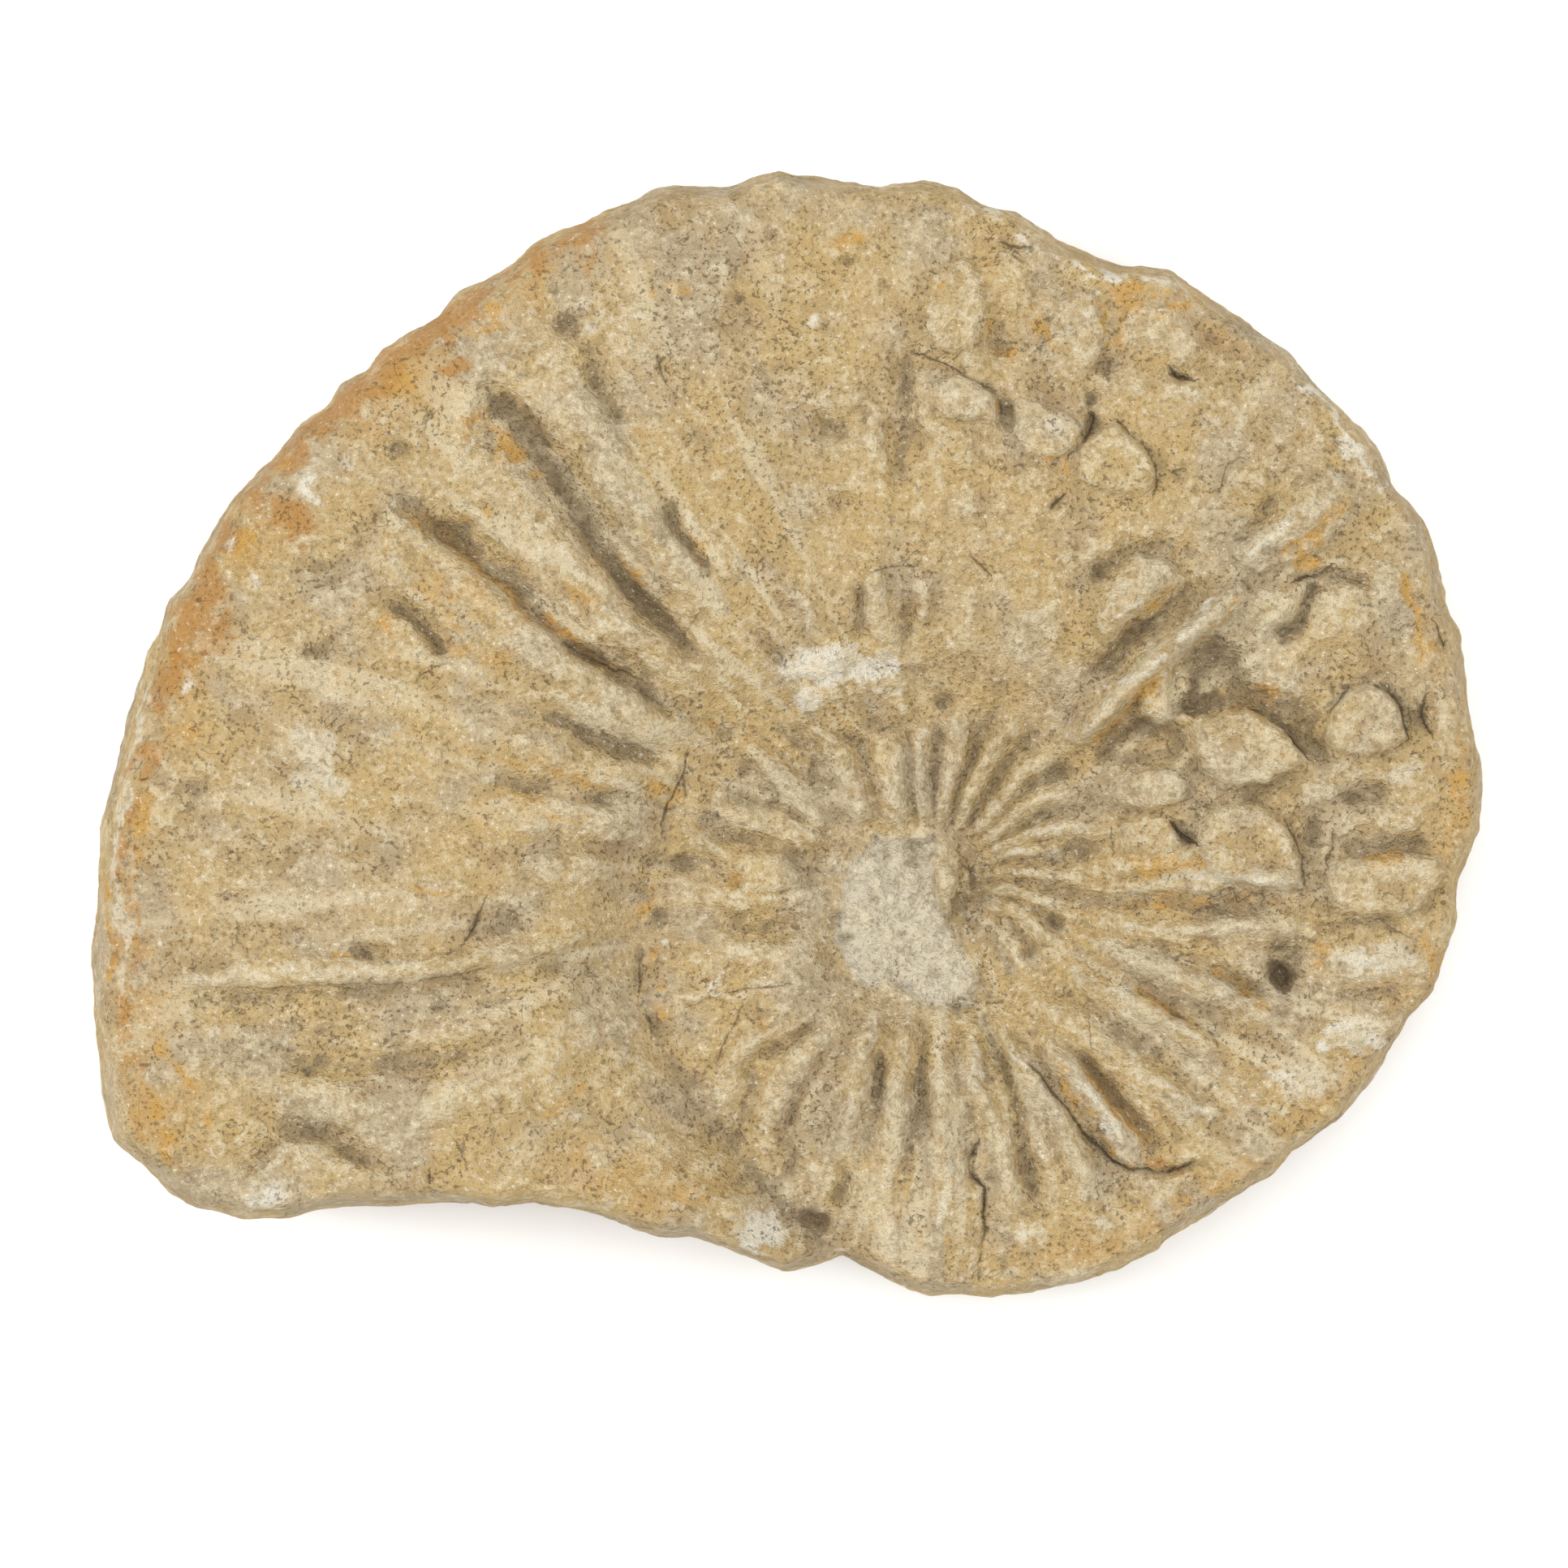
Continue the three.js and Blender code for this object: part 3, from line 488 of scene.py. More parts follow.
# %% List the cracks
CRACKS = [  # lines that are dark and narrow: half breadth of the dark line, depth, line
    (0.3, 1.6, [(46, -64), (50, -67), (53, -71), (56, -76), (59, -80), (64, -84), (68, -86), (73, -86.5),
                (80, -84.5), (86, -84.5)]),
    (0.26, 1.4, [(35.5, -73), (37, -78), (37.5, -80), (35.5, -83), (36, -86), (38.5, -89), (38, -94),
                 (38.5, -98), (38.5, -103.5)]),
    (0.14, 0.5, [(59.5, -56), (59.3, -61), (64, -64.5), (68, -68)]),
    (0.2, 0.7, [(-20, -3.5), (-22, -10), (-24, -17)]),
    (0.25, 0.8, [(-29, -41), (-29.3, -49)]),
    (0.2, 0.7, [(-27.5, -55), (-26.5, -58)]),
    (0.2, 0.8, [(-50, 24), (-45, 19), (-40, 16), (-35, 13.5), (-29, 10.5)]),
    (0.14, 0.6, [(-108, -49.6), (-98, -49.4), (-90, -49.2), (-80, -48.7), (-70, -48.1), (-60, -46)]),
    (0.2, 0.7, [(65, 61.6), (69, 58), (71.6, 55), (72.4, 51), (71.6, 47.6)]),
    # The next four lines run along the edges of lumps, and their dark line is painted shadow under the edge
    # as well as the crack.
    (0.35, 1.0, [(92, 4.8), (96, 2.4), (99.5, -0.6), (102.6, -4)]),
    (0.3, 0.9, [(107, 5.4), (109.4, 8.8)]),
    (0.3, 0.9, [(117, 9.2), (120, 7), (121.8, 4.4), (122.2, 0)]),
    (0.2, 0.8, [(98, -17.5), (100.4, -21.6), (101.4, -25), (101.8, -29)]),
    (0.5, 1.4, [(75.2, -16.6), (77, -19.2), (79, -21), (81, -21.6)]),
    (0.2, 0.7, [(64.2, -19.4), (64.8, -22.6)]),
    (0.12, 0.4, [(84, -14.6), (88, -12.6), (92, -12.8), (94.6, -14.2)]),
    (0.15, 0.6, [(84, -31.6), (86, -30.4), (88, -31), (88.6, -32.6)]),
    (0.15, 0.6, [(90.4, -32), (91.4, -30.8), (93.2, -31.2), (93.4, -32.6)]),
    (0.13, 0.5, [(80.6, -34.6), (82.4, -33), (84.4, -33.6)]),
    (0.3, 1.0, [(100.6, 31), (102, 32), (104.6, 31.6), (106, 33)]),
    (0.15, 0.6, [(107, 32), (110, 31), (113.6, 29.4)]),
    (0.25, 0.9, [(127.8, 22), (128.6, 18.6), (130, 16.6)]),
    (0.25, 0.9, [(126, 7), (125.4, 4), (126.6, 1)]),
    (0.2, 0.7, [(117.6, -37), (121.4, -40)]),
    (0.2, 0.7, [(107.4, -19.6), (107.6, -23), (106.8, -26)]),
    (0.2, 0.7, [(25, 74.6), (29, 73.4), (34, 71.6), (38.6, 69.4)]),
    (0.4, 1.0, [(38.6, 69.6), (41.4, 67.6), (41.8, 64.6), (40.6, 61.8)]),
    (0.25, 0.8, [(59.4, 64.4), (59.6, 61), (57.6, 57.2), (55, 55.4)]),
    (0.3, 0.9, [(75, 72.4), (77, 70.8), (79.4, 70.6)]),
    (0.12, 0.5, [(84.6, 49), (86, 53), (89, 54.6), (93, 53.6), (97, 51)]),
    (0.12, 0.5, [(88.6, 50), (92.6, 50), (95, 46.8)]),
    (0.25, 0.8, [(42.6, 97), (45, 95.4), (48, 95.6), (49.6, 97.4)]),
    (0.2, 0.6, [(44, 94.4), (46, 93), (49, 94)]),
    (0.35, 1.0, [(50.2, 41), (51, 44.4), (53.4, 46.8)]),
    (0.12, 0.5, [(0, 11), (6, 11.2), (11, 12.5)]),
    (0.12, 0.5, [(20, 14), (26, 13.2), (29, 14)]),
    (0.14, 0.5, [(17, 32.5), (25, 33.2)]),
    (0.2, 0.7, [(37, 35), (40, 32)]),
    (0.25, 0.8, [(-63, -40), (-60, -33)]),
    (0.13, 0.5, [(-73, 11), (-69, 13.6), (-64, 14)]),
    (0.2, 0.7, [(-26, 75), (-25, 72), (-23.5, 69)]),
    (0.2, 0.7, [(-20, 21), (-18, 23.5)]),
    (0.2, 0.7, [(-70.5, -86), (-70.3, -90)]),
    (0.15, 0.6, [(-65, -79), (-64, -84)]),
    (0.12, 0.5, [(-20, -54), (-15, -52), (-10, -50), (0, -49)]),
    (0.15, 0.6, [(-9.5, -53), (-11, -57), (-14, -64)]),
]
print(len(CRACKS), "cracks")

# %% [markdown]
# The lumps and hollows. The upper right of the shell is broken down to the rock that filled it, and
# what is left of each rib there is a row of flat-topped lumps, which are plates. Troughs and pits are
# plates that are sunk. The pale rock that still fills one side of the umbilicus is one rough outline.

# %% List the round lumps and hollows
LUMPS = [  # middle, half breadths, turn in degrees, height
    (44, 88, 4, 5, 20, 1.0), (41, 91, 3, 3, 0, 0.8), (70, 70, 5, 4, -30, 1.2), (36, 74, 5, 2, -10, 0.8),
    (52, 92, 5, 2.4, -15, 0.8), (68, 81, 3, 6, -15, 1.0), (26, 66, 2.4, 5, 0, 0.8), (48, 50, 5, 3, 20, 1.2),
    (36, 47, 4, 5, -20, 0.9), (86, 74, 6, 3, -35, 0.9), (92, 66, 5, 4, -30, 0.8), (74, 62, 3, 4, 0, 0.9),
    (80, 56, 5, 3, 20, 0.9), (96, 58, 6, 4, -40, 0.9), (108, 44, 4, 5, 40, 0.8), (118, 30, 4, 6, 20, 0.9),
    (124, 18, 3, 5, 10, 0.8), (104, -62, 4, 3, 20, 0.8), (92, -66, 5, 3, 30, 0.8), (80, -82, 5, 3, 25, 0.8),
    (46, 94, 6, 4.5, 10, 1.2), (82, 62, 16, 8, -25, 1.2), (74, 79, 9, 5, -28, 1.2),
    (110, 24, 9, 6.5, 0, 1.6), (95, 25, 6, 4.5, 20, 2.0), (113, -6.5, 8, 2.6, 0, 1.2),
    (104, -11, 5, 3, 10, 1.6), (118, -16, 8, 3, 5, 1.2), (130, 4, 3, 8, 0, 1.2), (114, -45, 9, 4, 0, 1.2),
    (112, -59, 9, 4.2, 25, 1.2), (100, -68, 10, 6, 30, 1.2), (5, 13.4, 9, 2.2, 8, 1.0),
    (20, 16, 7, 2.4, -5, 0.8), (90, 50, 5, 3.6, 0, 1.0), (-44, -13, 5, 3.6, -12, 1.4),
    (-35, -19, 3.6, 2.4, 0, 1.0), (-90, -72, 13, 5.6, -4, 2.0), (-70, -72, 8, 5, 10, 1.2),
    (-21, 2.5, 2.6, 1.8, 0, 0.9), (-11, -93, 3.4, 2.6, 0, 1.0), (48, -98, 4.4, 4, 0, 0.9),
    (61, -97, 4.4, 4, 10, 0.9), (8, 70, 8, 7, 0, 1.2), (32, 54, 5.5, 8, 10, 1.4), (-18, 88, 10, 6, 10, 1.0),
    (0, 90, 7, 8, 0, 1.0), (-30, 80, 6, 7, 20, 0.9), (-90, 4, 14, 16, 0, 1.2), (48, 20, 8, 6, 40, 1.2),
    (36, 22, 6, 8, 0, 1.0),
]
HOLLOWS = [
    (98, -47.6, 3.0, 5.4, 18, 8.0), (99.6, -45.5, 6.6, 8, 10, 3.2), (8, 60, 4.2, 3.4, 0, 2.0),
    (11, 46, 3.6, 3, 0, 1.6), (-44, 80.4, 3.2, 3.6, 0, 1.2), (-56, -36.6, 6.6, 3.6, 8, 2.6),
    (-82, -42.4, 4, 2.2, -15, 2.0), (-91, 33, 6, 5, 0, 2.2), (-92, 17, 4.6, 4.4, 0, 1.8),
    (-117, -11, 4.4, 4.6, 0, 1.8), (-77, 56, 4.2, 3.6, -20, 1.8), (-108, 22, 5, 4, 0, 1.2),
    (-107, -24, 5, 4, 0, 1.0), (-99, -24, 4, 4, 0, 1.0), (5, -95.5, 4.4, 2.4, -25, 3.0),
    (22, -92, 3.4, 4.4, 0, 1.4), (58, -22.5, 3.8, 3, 0, 1.2), (31, 7, 2.8, 2.4, 0, 2.0),
    (53.5, -7, 3, 2.4, 30, 1.2), (53, -37, 3, 2.4, 0, 1.8), (48, -43.5, 3, 2, 30, 1.4),
    (-21, -25, 3.8, 2.6, 0, 1.8), (-9, -6.4, 2.6, 2, 30, 1.4), (-16, -15.5, 2.8, 2, 20, 1.4),
    (-25, -36, 2.8, 2.4, 0, 1.4), (63, 72.6, 3, 3, 20, 2.4), (60, 66, 2.4, 3, 0, 1.8),
    (77, 71, 2.6, 1.8, -20, 1.8), (77, 52, 1.8, 1.4, 0, 1.6), (80.4, 49, 1.2, 1.2, 0, 1.4),
    (43, 64, 2.2, 4.2, -5, 2.2), (59.6, 61, 2.4, 4, 10, 2.2), (42, 78, 4, 7, 0, 2.0),
    (62, 33, 4.6, 3, 40, 1.4), (-3.5, 98, 1.4, 1.8, 0, 1.6), (19, 89, 1.5, 1.5, 0, 1.4),
    (12, 94, 2.6, 0.9, 5, 1.4), (-9, 86, 1.4, 1.2, 0, 1.2), (23, 98, 3, 2, 0, 1.0),
    (39, -56.4, 1.4, 1.6, 0, 1.6), (38.6, -106, 1.2, 1.2, 0, 1.6), (84.4, 2.2, 1.2, 1.4, 0, 2.6),
    (45, -107.4, 0.9, 0.7, 0, 0.9), (17.5, -39, 1.4, 1.0, 0, 1.2), (-38, -46, 2.4, 2, 0, 1.2),
    (104.6, -2, 2.6, 5, 10, 2.6), (103.4, -19, 3, 8, -5, 2.0), (123.6, 4, 2, 5, 20, 1.4),
    (73, -4.4, 8, 2.6, -6, 1.2), (-108, -32, 4, 3, 0, 1.0), (-34, -83, 3, 2.4, 0, 1.0),
    (-38, -87, 2.6, 2, 0, 0.9), (94, -74, 5, 3, 30, 1.2), (68, -92, 4, 3, 0, 1.0),
    (94, -49.6, 4, 1.6, 0, 1.4),
]
print(len(LUMPS), "round lumps and", len(HOLLOWS), "hollows")

# %% List the plates, troughs and pits
PLATES = [  # height, outline
    (1.8, [(56, -3.6), (60, -1), (66, 4), (70, 8.6), (73, 6.6), (75.6, 12), (80, 17), (88, 24), (90.6, 28),
           (88, 31), (80, 24.6), (70, 15.6), (60, 6.4)]),
    (2.2, [(60.4, 23), (62.4, 18.6), (66, 18.6), (70, 22), (74, 26), (78, 31), (73.6, 35), (69, 36),
           (64.6, 30)]),
    (2.2, [(86, 38), (88.6, 33.4), (93, 32), (98, 34), (104, 37), (108, 41), (112, 47), (108, 51),
           (101, 49), (95, 45), (89, 42)]),
    (1.5, [(-118, -46.4), (-110, -45), (-100, -43.6), (-90, -43), (-80, -44.4), (-70, -44.4), (-60, -43.2),
           (-50, -40.8), (-40, -38.4), (-38, -40), (-50, -43.4), (-60, -46.2), (-70, -48), (-80, -48.6),
           (-90, -49), (-104, -49.6), (-118, -49)]),
    (4.4, [(80.6, -2.5), (81, 0), (83, 2.5), (86, 4.5), (90, 4.9), (94, 3.5), (97, 1), (100, -1.5),
           (102.5, -4.5), (99, -7), (94, -9.5), (86, -9.5), (82, -6)]),
    (3.6, [(107, 4.6), (109, 8.4), (114, 9.8), (118, 8.5), (121, 5), (122, 0.6), (120, -2), (115, -3),
           (109, -3), (106.5, 0)]),
    (3.4, [(82, -18), (84, -14.5), (88, -13), (93, -13.5), (97, -17), (99.5, -21), (101, -26), (101, -29.5),
           (95, -30), (88, -29), (83, -27), (81, -22)]),
    (2.8, [(64, -12), (67, -8), (71, -6), (76, -7), (79, -9), (78, -13), (72, -14.4), (66, -14.4)]),
    (2.4, [(66, -17), (70, -15.2), (75, -15.6), (77, -19), (77.6, -22), (72, -23.4), (66, -22.6)]),
    (2.6, [(69, 4.4), (73.5, 2), (75, 2), (74.6, 8), (75, 15), (70, 10)]),
    (3.0, [(107, -26.5), (110, -24.5), (120, -24), (128, -23.4), (129.5, -27), (127, -31), (122, -35),
           (113, -35.5), (107, -33)]),
    (1.5, [(28, 90), (31, 93.5), (35, 94), (38, 91), (38.4, 84), (37, 78), (34, 75.4), (29, 76), (27, 82)]),
    (1.7, [(51, 80), (53, 85), (57, 87.5), (60.5, 86), (62, 80), (61, 74), (58, 70), (52, 70), (49.5, 74)]),
    (2.2, [(29, 69), (34, 71), (38, 69.4), (40.6, 67), (40, 63), (36, 61.5), (31, 62), (28, 65)]),
    (2.2, [(45, 66), (50, 65.5), (54, 63), (57.2, 60), (56, 56.5), (52, 55), (47, 56), (44, 60)]),
    (2.2, [(57, 57), (60, 60), (64, 61), (68, 58.5), (71.4, 55), (72, 51), (70, 48), (66, 47.5), (61, 49),
           (56, 51)]),
]
TROUGHS = [
    (5.4, [(-62, 61), (-59, 68), (-54, 67), (-49, 61), (-44, 54), (-39.6, 46), (-36, 39.6), (-31, 33),
           (-26, 27), (-21, 21.6), (-19.4, 17), (-23, 18), (-29, 23), (-35, 30), (-41, 36.4), (-46, 42),
           (-51, 48.4), (-56, 54), (-61, 57)]),
    (2.0, [(-76, 47), (-70, 46), (-64, 41), (-58, 35), (-52, 29), (-54, 26.6), (-60, 32), (-66, 37),
           (-74, 42)]),
    (1.6, [(-60, 8), (-50, 6), (-42, 4), (-34, 0), (-26, -3), (-27, -5.6), (-35, -4), (-43, -0.6),
           (-52, 2.6), (-60, 4)]),
    (2.2, [(-36, 74), (-41, 77), (-47, 80), (-46, 84), (-41, 85), (-39, 80)]),
]
PITS = [
    (1.8, [(-118, -50), (-104, -50.2), (-90, -49.6), (-80, -49), (-68, -48.2), (-56, -45.6), (-44, -42.6),
           (-41, -45), (-50, -50), (-60, -55), (-70, -58), (-80, -59), (-98, -58.4), (-107, -57),
           (-116, -54)]),
    (3.4, [(75.6, 5), (79, 9), (79.4, 15), (82, 19), (85, 19), (89, 17), (90, 13), (92, 10), (97, 8),
           (103, 8), (105, 4), (103.4, -3), (98, 3), (92, 5.6), (86, 5.6), (84, 3), (79, 4)]),
    (3.0, [(62, -1), (65, 2), (69, 4), (75, 2.5), (78, 1), (80, -2), (76, -5.5), (71, -6), (66, -6),
           (62, -5)]),
    (1.4, [(103, 16), (112, 15), (120, 12), (122, 7), (118, 10), (110, 11), (105, 7), (100, 11)]),
]
MATRIX = [  # the pale rock in the umbilicus, as one rough outline
    (17.5, -19.5), (20, -20.8), (24, -20), (27, -20.8), (28.7, -20), (29, -26), (29.3, -31), (30, -34),
    (31.5, -37.5), (33, -40.5), (35, -43.5), (36.5, -46), (37, -50), (37, -53.6), (33, -55), (30.4, -54),
    (28, -53.6), (24, -51), (20, -48.5), (17, -50), (13.5, -49), (12, -46), (10.5, -42), (8.8, -41),
    (10, -38.5), (8.5, -36.5), (10.5, -34), (10, -30), (11.5, -28), (12, -25), (15, -23.5),
]
MATRIX_LEVEL, MATRIX_SLOPE, STREAK_RELIEF = 44.0, 0.15, 0.9
print(len(PLATES), "plates and", len(TROUGHS + PITS), "troughs and pits")

# %% [markdown]
# Weathered limestone is uneven at every size, from a slow swell across a whole whorl to grains of
# sand. Fractal noise gives the unevenness, and a second, small noise shifts the forms sideways before
# they are worked out, so that no rib or crack is a clean line. Where ribs have worn away, the surface
# still runs in faint streaks outwards from the umbilicus, so one noise is stretched that way.

# %% Make the unevenness
RIBBED = [  # direction in degrees, share of the ribs' streaks in the relief and the colour
    (-108, 1.0), (-30, 1.0), (-10, 0.6), (30, 0.5), (45, 0.9), (60, 0.4), (75, 0.3), (110, 0.35),
    (125, 1.0), (150, 0.9), (185, 0.55), (225, 0.5), (252, 1.0),
]


def rock_noise(x, y, z, size, octaves, seed):
    """Fractal noise of a given size in millimetres, about -1 to 1, at each point."""
    shift = Vector((seed * 17.3, seed * 5.1, seed * 9.7))
    places = np.stack([x, y, z], axis=-1) / size
    return np.array([noise.fractal(Vector(p) + shift, 1.0, 2.0, octaves) for p in places.tolist()])


def streak_noise(x, y, streaks, stretch, octaves, seed):
    """Fractal noise in streaks that run outwards from the umbilicus, as the ribs do."""
    dx, dy = x - UMBILICUS[0], y - UMBILICUS[1]
    distance = np.maximum(np.hypot(dx, dy), 4)
    return rock_noise(
        streaks * dx / distance, streaks * dy / distance, stretch * np.log(distance), 1.0, octaves, seed
    )


def ribbed_share(x, y):
    """How plainly the surface keeps the direction of the ribs, by the way that it lies."""
    _, turn = winding(x, y)
    return np.interp(turn, *zip(*RIBBED))


def shifted(x, y):
    """The points as the forms see them: pushed about by a fraction of a millimetre to a millimetre."""
    flat = np.zeros(x.shape)
    push = 1.1 - 0.6 * fade(np.hypot(x - UMBILICUS[0], y - UMBILICUS[1]) / 55)
    return x + push * rock_noise(x, y, flat, 10, 5, 1), y + push * rock_noise(x, y, flat, 10, 5, 2)


def chips(x, y, size, seed):
    """Flat facets with small steps between them, as where thin flakes have broken away."""
    level = 2.6 * rock_noise(x, y, np.zeros(x.shape), size, 3, seed)
    whole = np.floor(level)
    return (whole + fade(1 - (level - whole)) - level) / 2.6


print("the noise at the middle:", rock_noise(*np.zeros((3, 1)), 10, 5, 1).round(2))

# %% Shape the face
INNER_GAIN, PETAL_GAIN, PETAL_EDGE, LOWER_GAIN = 1.5, 0.8, 3.4, 1.25
PIT_EDGE, TROUGH_EDGE, PLATE_EDGE, CRACK_WALL = 4.0, 8.0, 1.3, 0.5  # breadths of soft edges
GROOVE_LEAN, STREAKS_FROM, STREAKS_FULL = 0.45, 24, 44
SWELLS = [  # size in millimetres, octaves, seed, height
    (30, 2, 4, 1.4), (11, 5, 5, 1.0),
]


def rock_patch(x, y, px, py, height):
    """Lays the crumbly rock over the umbilicus, with an apron that runs out under its edge."""
    flat = np.zeros(x.shape)
    edge_x = px + 0.7 * rock_noise(x, y, flat, 2.6, 3, 18)
    beside = np.maximum(0, from_line(px, py, MATRIX)[0] - 1)
    level = MATRIX_LEVEL - MATRIX_SLOPE * (px - UMBILICUS[0])
    height = np.maximum(height, level - 0.8 - 0.3 * beside - 0.02 * beside**2)
    rock = inside(edge_x, py, MATRIX, 0.9)
    lumps = 1.5 * rock_noise(x, y, flat, 6, 4, 3) + 1.8 * np.abs(rock_noise(x, y, flat, 2.6, 4, 19))
    return height + (level + lumps - height) * rock


def face_height(x, y):
    """The height of the finished face, in millimetres over the floor."""
    px, py = shifted(x, y)
    height = coil_height(px, py)
    flat = np.zeros(x.shape)
    worn = np.clip(1 + 0.7 * rock_noise(x, y, flat, 12, 3, 14), 0.5, 1.4)
    inner_ribs = strokes(px, py, INNER_RIBS, widen=1.3, power=1.3, tip=0.4)
    height += INNER_GAIN * np.maximum(inner_ribs, PETAL_GAIN * plates(px, py, PETALS, PETAL_EDGE))
    height += LOWER_GAIN * strokes(px, py, LOWER_RIBS, widen=1.3, power=1.3) * worn
    height += strokes(px, py, RIGHT_RIBS, widen=1.1, power=2.2, tip=0.6)
    height += strokes(px, py, BODY_RIDGES, widen=1.6, power=1.5) * worn
    height -= np.maximum(ovals(px, py, HOLLOWS, flat=0.1), plates(px, py, PITS, PIT_EDGE))
    height -= plates(px, py, TROUGHS, TROUGH_EDGE)
    height += np.maximum(ovals(px, py, LUMPS), plates(px, py, PLATES, PLATE_EDGE))
    for row in BODY_GROOVES:
        height -= strokes(px, py, [row], widen=1.5, power=1.2, lean=GROOVE_LEAN) * worn
    for row in GROOVES:
        height -= strokes(px, py, [row], power=1.3) * worn
    cuts = [(half + CRACK_WALL, half + CRACK_WALL, depth, line) for half, depth, line in CRACKS]
    height -= strokes(px, py, cuts) * worn
    outer_share = 1 - fade((winding(x, y)[0] - STREAKS_FROM) / (STREAKS_FULL - STREAKS_FROM))
    height += STREAK_RELIEF * outer_share * ribbed_share(x, y) * streak_noise(px, py, 17, 2.4, 4, 17)
    height = rock_patch(x, y, px, py, height)
    for size, octaves, seed, rise in SWELLS:
        height += rise * rock_noise(x, y, flat, size, octaves, seed)
    rough = np.clip(0.7 + rock_noise(x, y, flat, 20, 2, 15), 0.25, 1.5)
    height += rough * (0.55 * rock_noise(x, y, flat, 3.0, 4, 6) + 0.8 * chips(x, y, 9, 7))
    creases = np.clip(1 - np.abs(rock_noise(x, y, flat, 9, 4, 16)) / 0.09, 0, 1)
    return height - 0.4 * rough * creases


probe = face_height(np.linspace(-100, 100, 5), np.zeros(5))
print("heights from left to right:", np.round(probe, 1))

# %% [markdown]
# The reverse side isn't in the photograph. It is finished as the back of such a shell is: ground flat
# where it lies, with a shallow hollow in the middle, worn ribs near the edge, and rough rock between.

# %% Shape the reverse side
HOLLOW_BREADTH, HOLLOW_DEPTH = 31.0, 15.0
REVERSE_RIBS, REVERSE_RIB_DEPTH, REVERSE_RIBS_FROM = 40, 2.6, 0.62


def reverse_height(x, y):
    """The height of the reverse side over the floor: nothing where the shell lies on it."""
    dx, dy = x - UMBILICUS[0], y - UMBILICUS[1]
    distance, angle = np.hypot(dx, dy), np.arctan2(dy, dx)
    share = distance / look_up(edge_reach, np.degrees(angle))
    outwards = 1 - fade((share - REVERSE_RIBS_FROM) / 0.3)
    wander = 0.5 * rock_noise(x, y, np.zeros(x.shape), 24, 2, 8)
    valley = np.maximum(0, np.sin(REVERSE_RIBS * angle + wander)) * REVERSE_RIB_DEPTH * outwards
    pits = np.maximum(0, rock_noise(x, y, np.zeros(x.shape), 7, 4, 9) - 0.12) * 2.2
    return HOLLOW_DEPTH * fade(distance / HOLLOW_BREADTH) + valley + pits


print("the hollow on the reverse side is", HOLLOW_DEPTH, "mm deep")

# %% [markdown]
# The mesh starts as a ball of six segments and is cut into small triangles with subdivide_edges. The
# upper half is cut once more than the lower, because the face has the fine relief. Each vertex knows
# its ring from its height on the ball, and its direction from its place round it, and those two say
# where on the fossil it goes: on the face, over the rounded edge, or on the reverse side. The edge is
# sharp at the right, where it broke, and rounder on the worn body chamber, so its breadth is a table.

# %% Cut a ball into fine triangles
RINGS = 80  # rings in each half before the upper half is cut again
FACE_SHARE, REVERSE_EDGE_SHARE = 0.88, 0.36
SHOULDER = [  # direction in degrees, breadth of the rounded edge
    (-180, 7), (-150, 6), (-120, 4.5), (-90, 4), (0, 4), (60, 5), (100, 5), (130, 7), (180, 7),
]
REVERSE_SHOULDER, BELLY_LEVEL = 17.0, 0.46


def facet_ball():
    """A ball of six segments whose faces are cut into small triangles."""
    ball = bmesh.new()
    bmesh.ops.create_uvsphere(ball, u_segments=6, v_segments=2, radius=1)
    bmesh.ops.subdivide_edges(ball, edges=ball.edges[:], cuts=RINGS - 1, use_grid_fill=True)
    upper = [e for e in ball.edges if (e.verts[0].co.z + e.verts[1].co.z) / 2 > 0.2 / RINGS]
    rim = [e for e in ball.edges if max(abs(v.co.z) for v in e.verts) < 0.2 / RINGS]
    bmesh.ops.subdivide_edges(ball, edges=upper + rim, cuts=1, use_grid_fill=True)
    bmesh.ops.triangulate(ball, faces=[f for f in ball.faces if len(f.verts) > 3])
    bmesh.ops.recalc_face_normals(ball, faces=ball.faces[:])
    return ball


ball = facet_ball()
ball_places = np.array([v.co[:] for v in ball.verts])
print(len(ball.faces), "triangles")

# %% Put every vertex in its place on the fossil
centre_reach = reach_from((0.0, 0.0), edge_points)


def fossil_places(ball_places):
    """Millimetre places on the fossil for the places on the ball, and how far down each is."""
    bx, by, bz = ball_places.T
    down = 1 - bz
    turn = np.degrees(np.arctan2(by, bx))
    reach = look_up(centre_reach, turn)
    slope = (look_up(centre_reach, turn + 2) - look_up(centre_reach, turn - 2)) / math.radians(4)
    lean = np.minimum(np.hypot(1, slope / reach), 1.6)
    over = np.clip((down - FACE_SHARE) / (1 - FACE_SHARE), 0, 1) * math.pi / 2
    under = np.clip((down - 1) / REVERSE_EDGE_SHARE, 0, 1) * math.pi / 2
    shoulder = np.interp(turn, *zip(*SHOULDER)) * lean
    face_end, reverse_end = reach - shoulder, reach - REVERSE_SHOULDER * lean
    distance = np.where(
        down <= 1,
        face_end * np.minimum(down / FACE_SHARE, 1) + shoulder * np.sin(over),
        reverse_end * np.clip((2 - down) / (1 - REVERSE_EDGE_SHARE), 0, 1)
        + REVERSE_SHOULDER * lean * np.cos(under),
    )
    x, y = distance * np.cos(np.radians(turn)), distance * np.sin(np.radians(turn))
    belly = BELLY_LEVEL * coil_height(*(0.9 * np.array([x, y])))
    top, bottom = face_height(x, y), reverse_height(x, y)
    upper = belly + (top - belly) * np.cos(over)
    lower = belly * (1 - np.sin(under)) + bottom * np.sin(under)
    return np.stack([x, y, np.where(down <= 1, upper, lower)], axis=-1), down


places, down = fossil_places(ball_places)
print("the face is between", *np.round([places[down < 0.8, 2].min(), places[:, 2].max()], 1), "mm high")

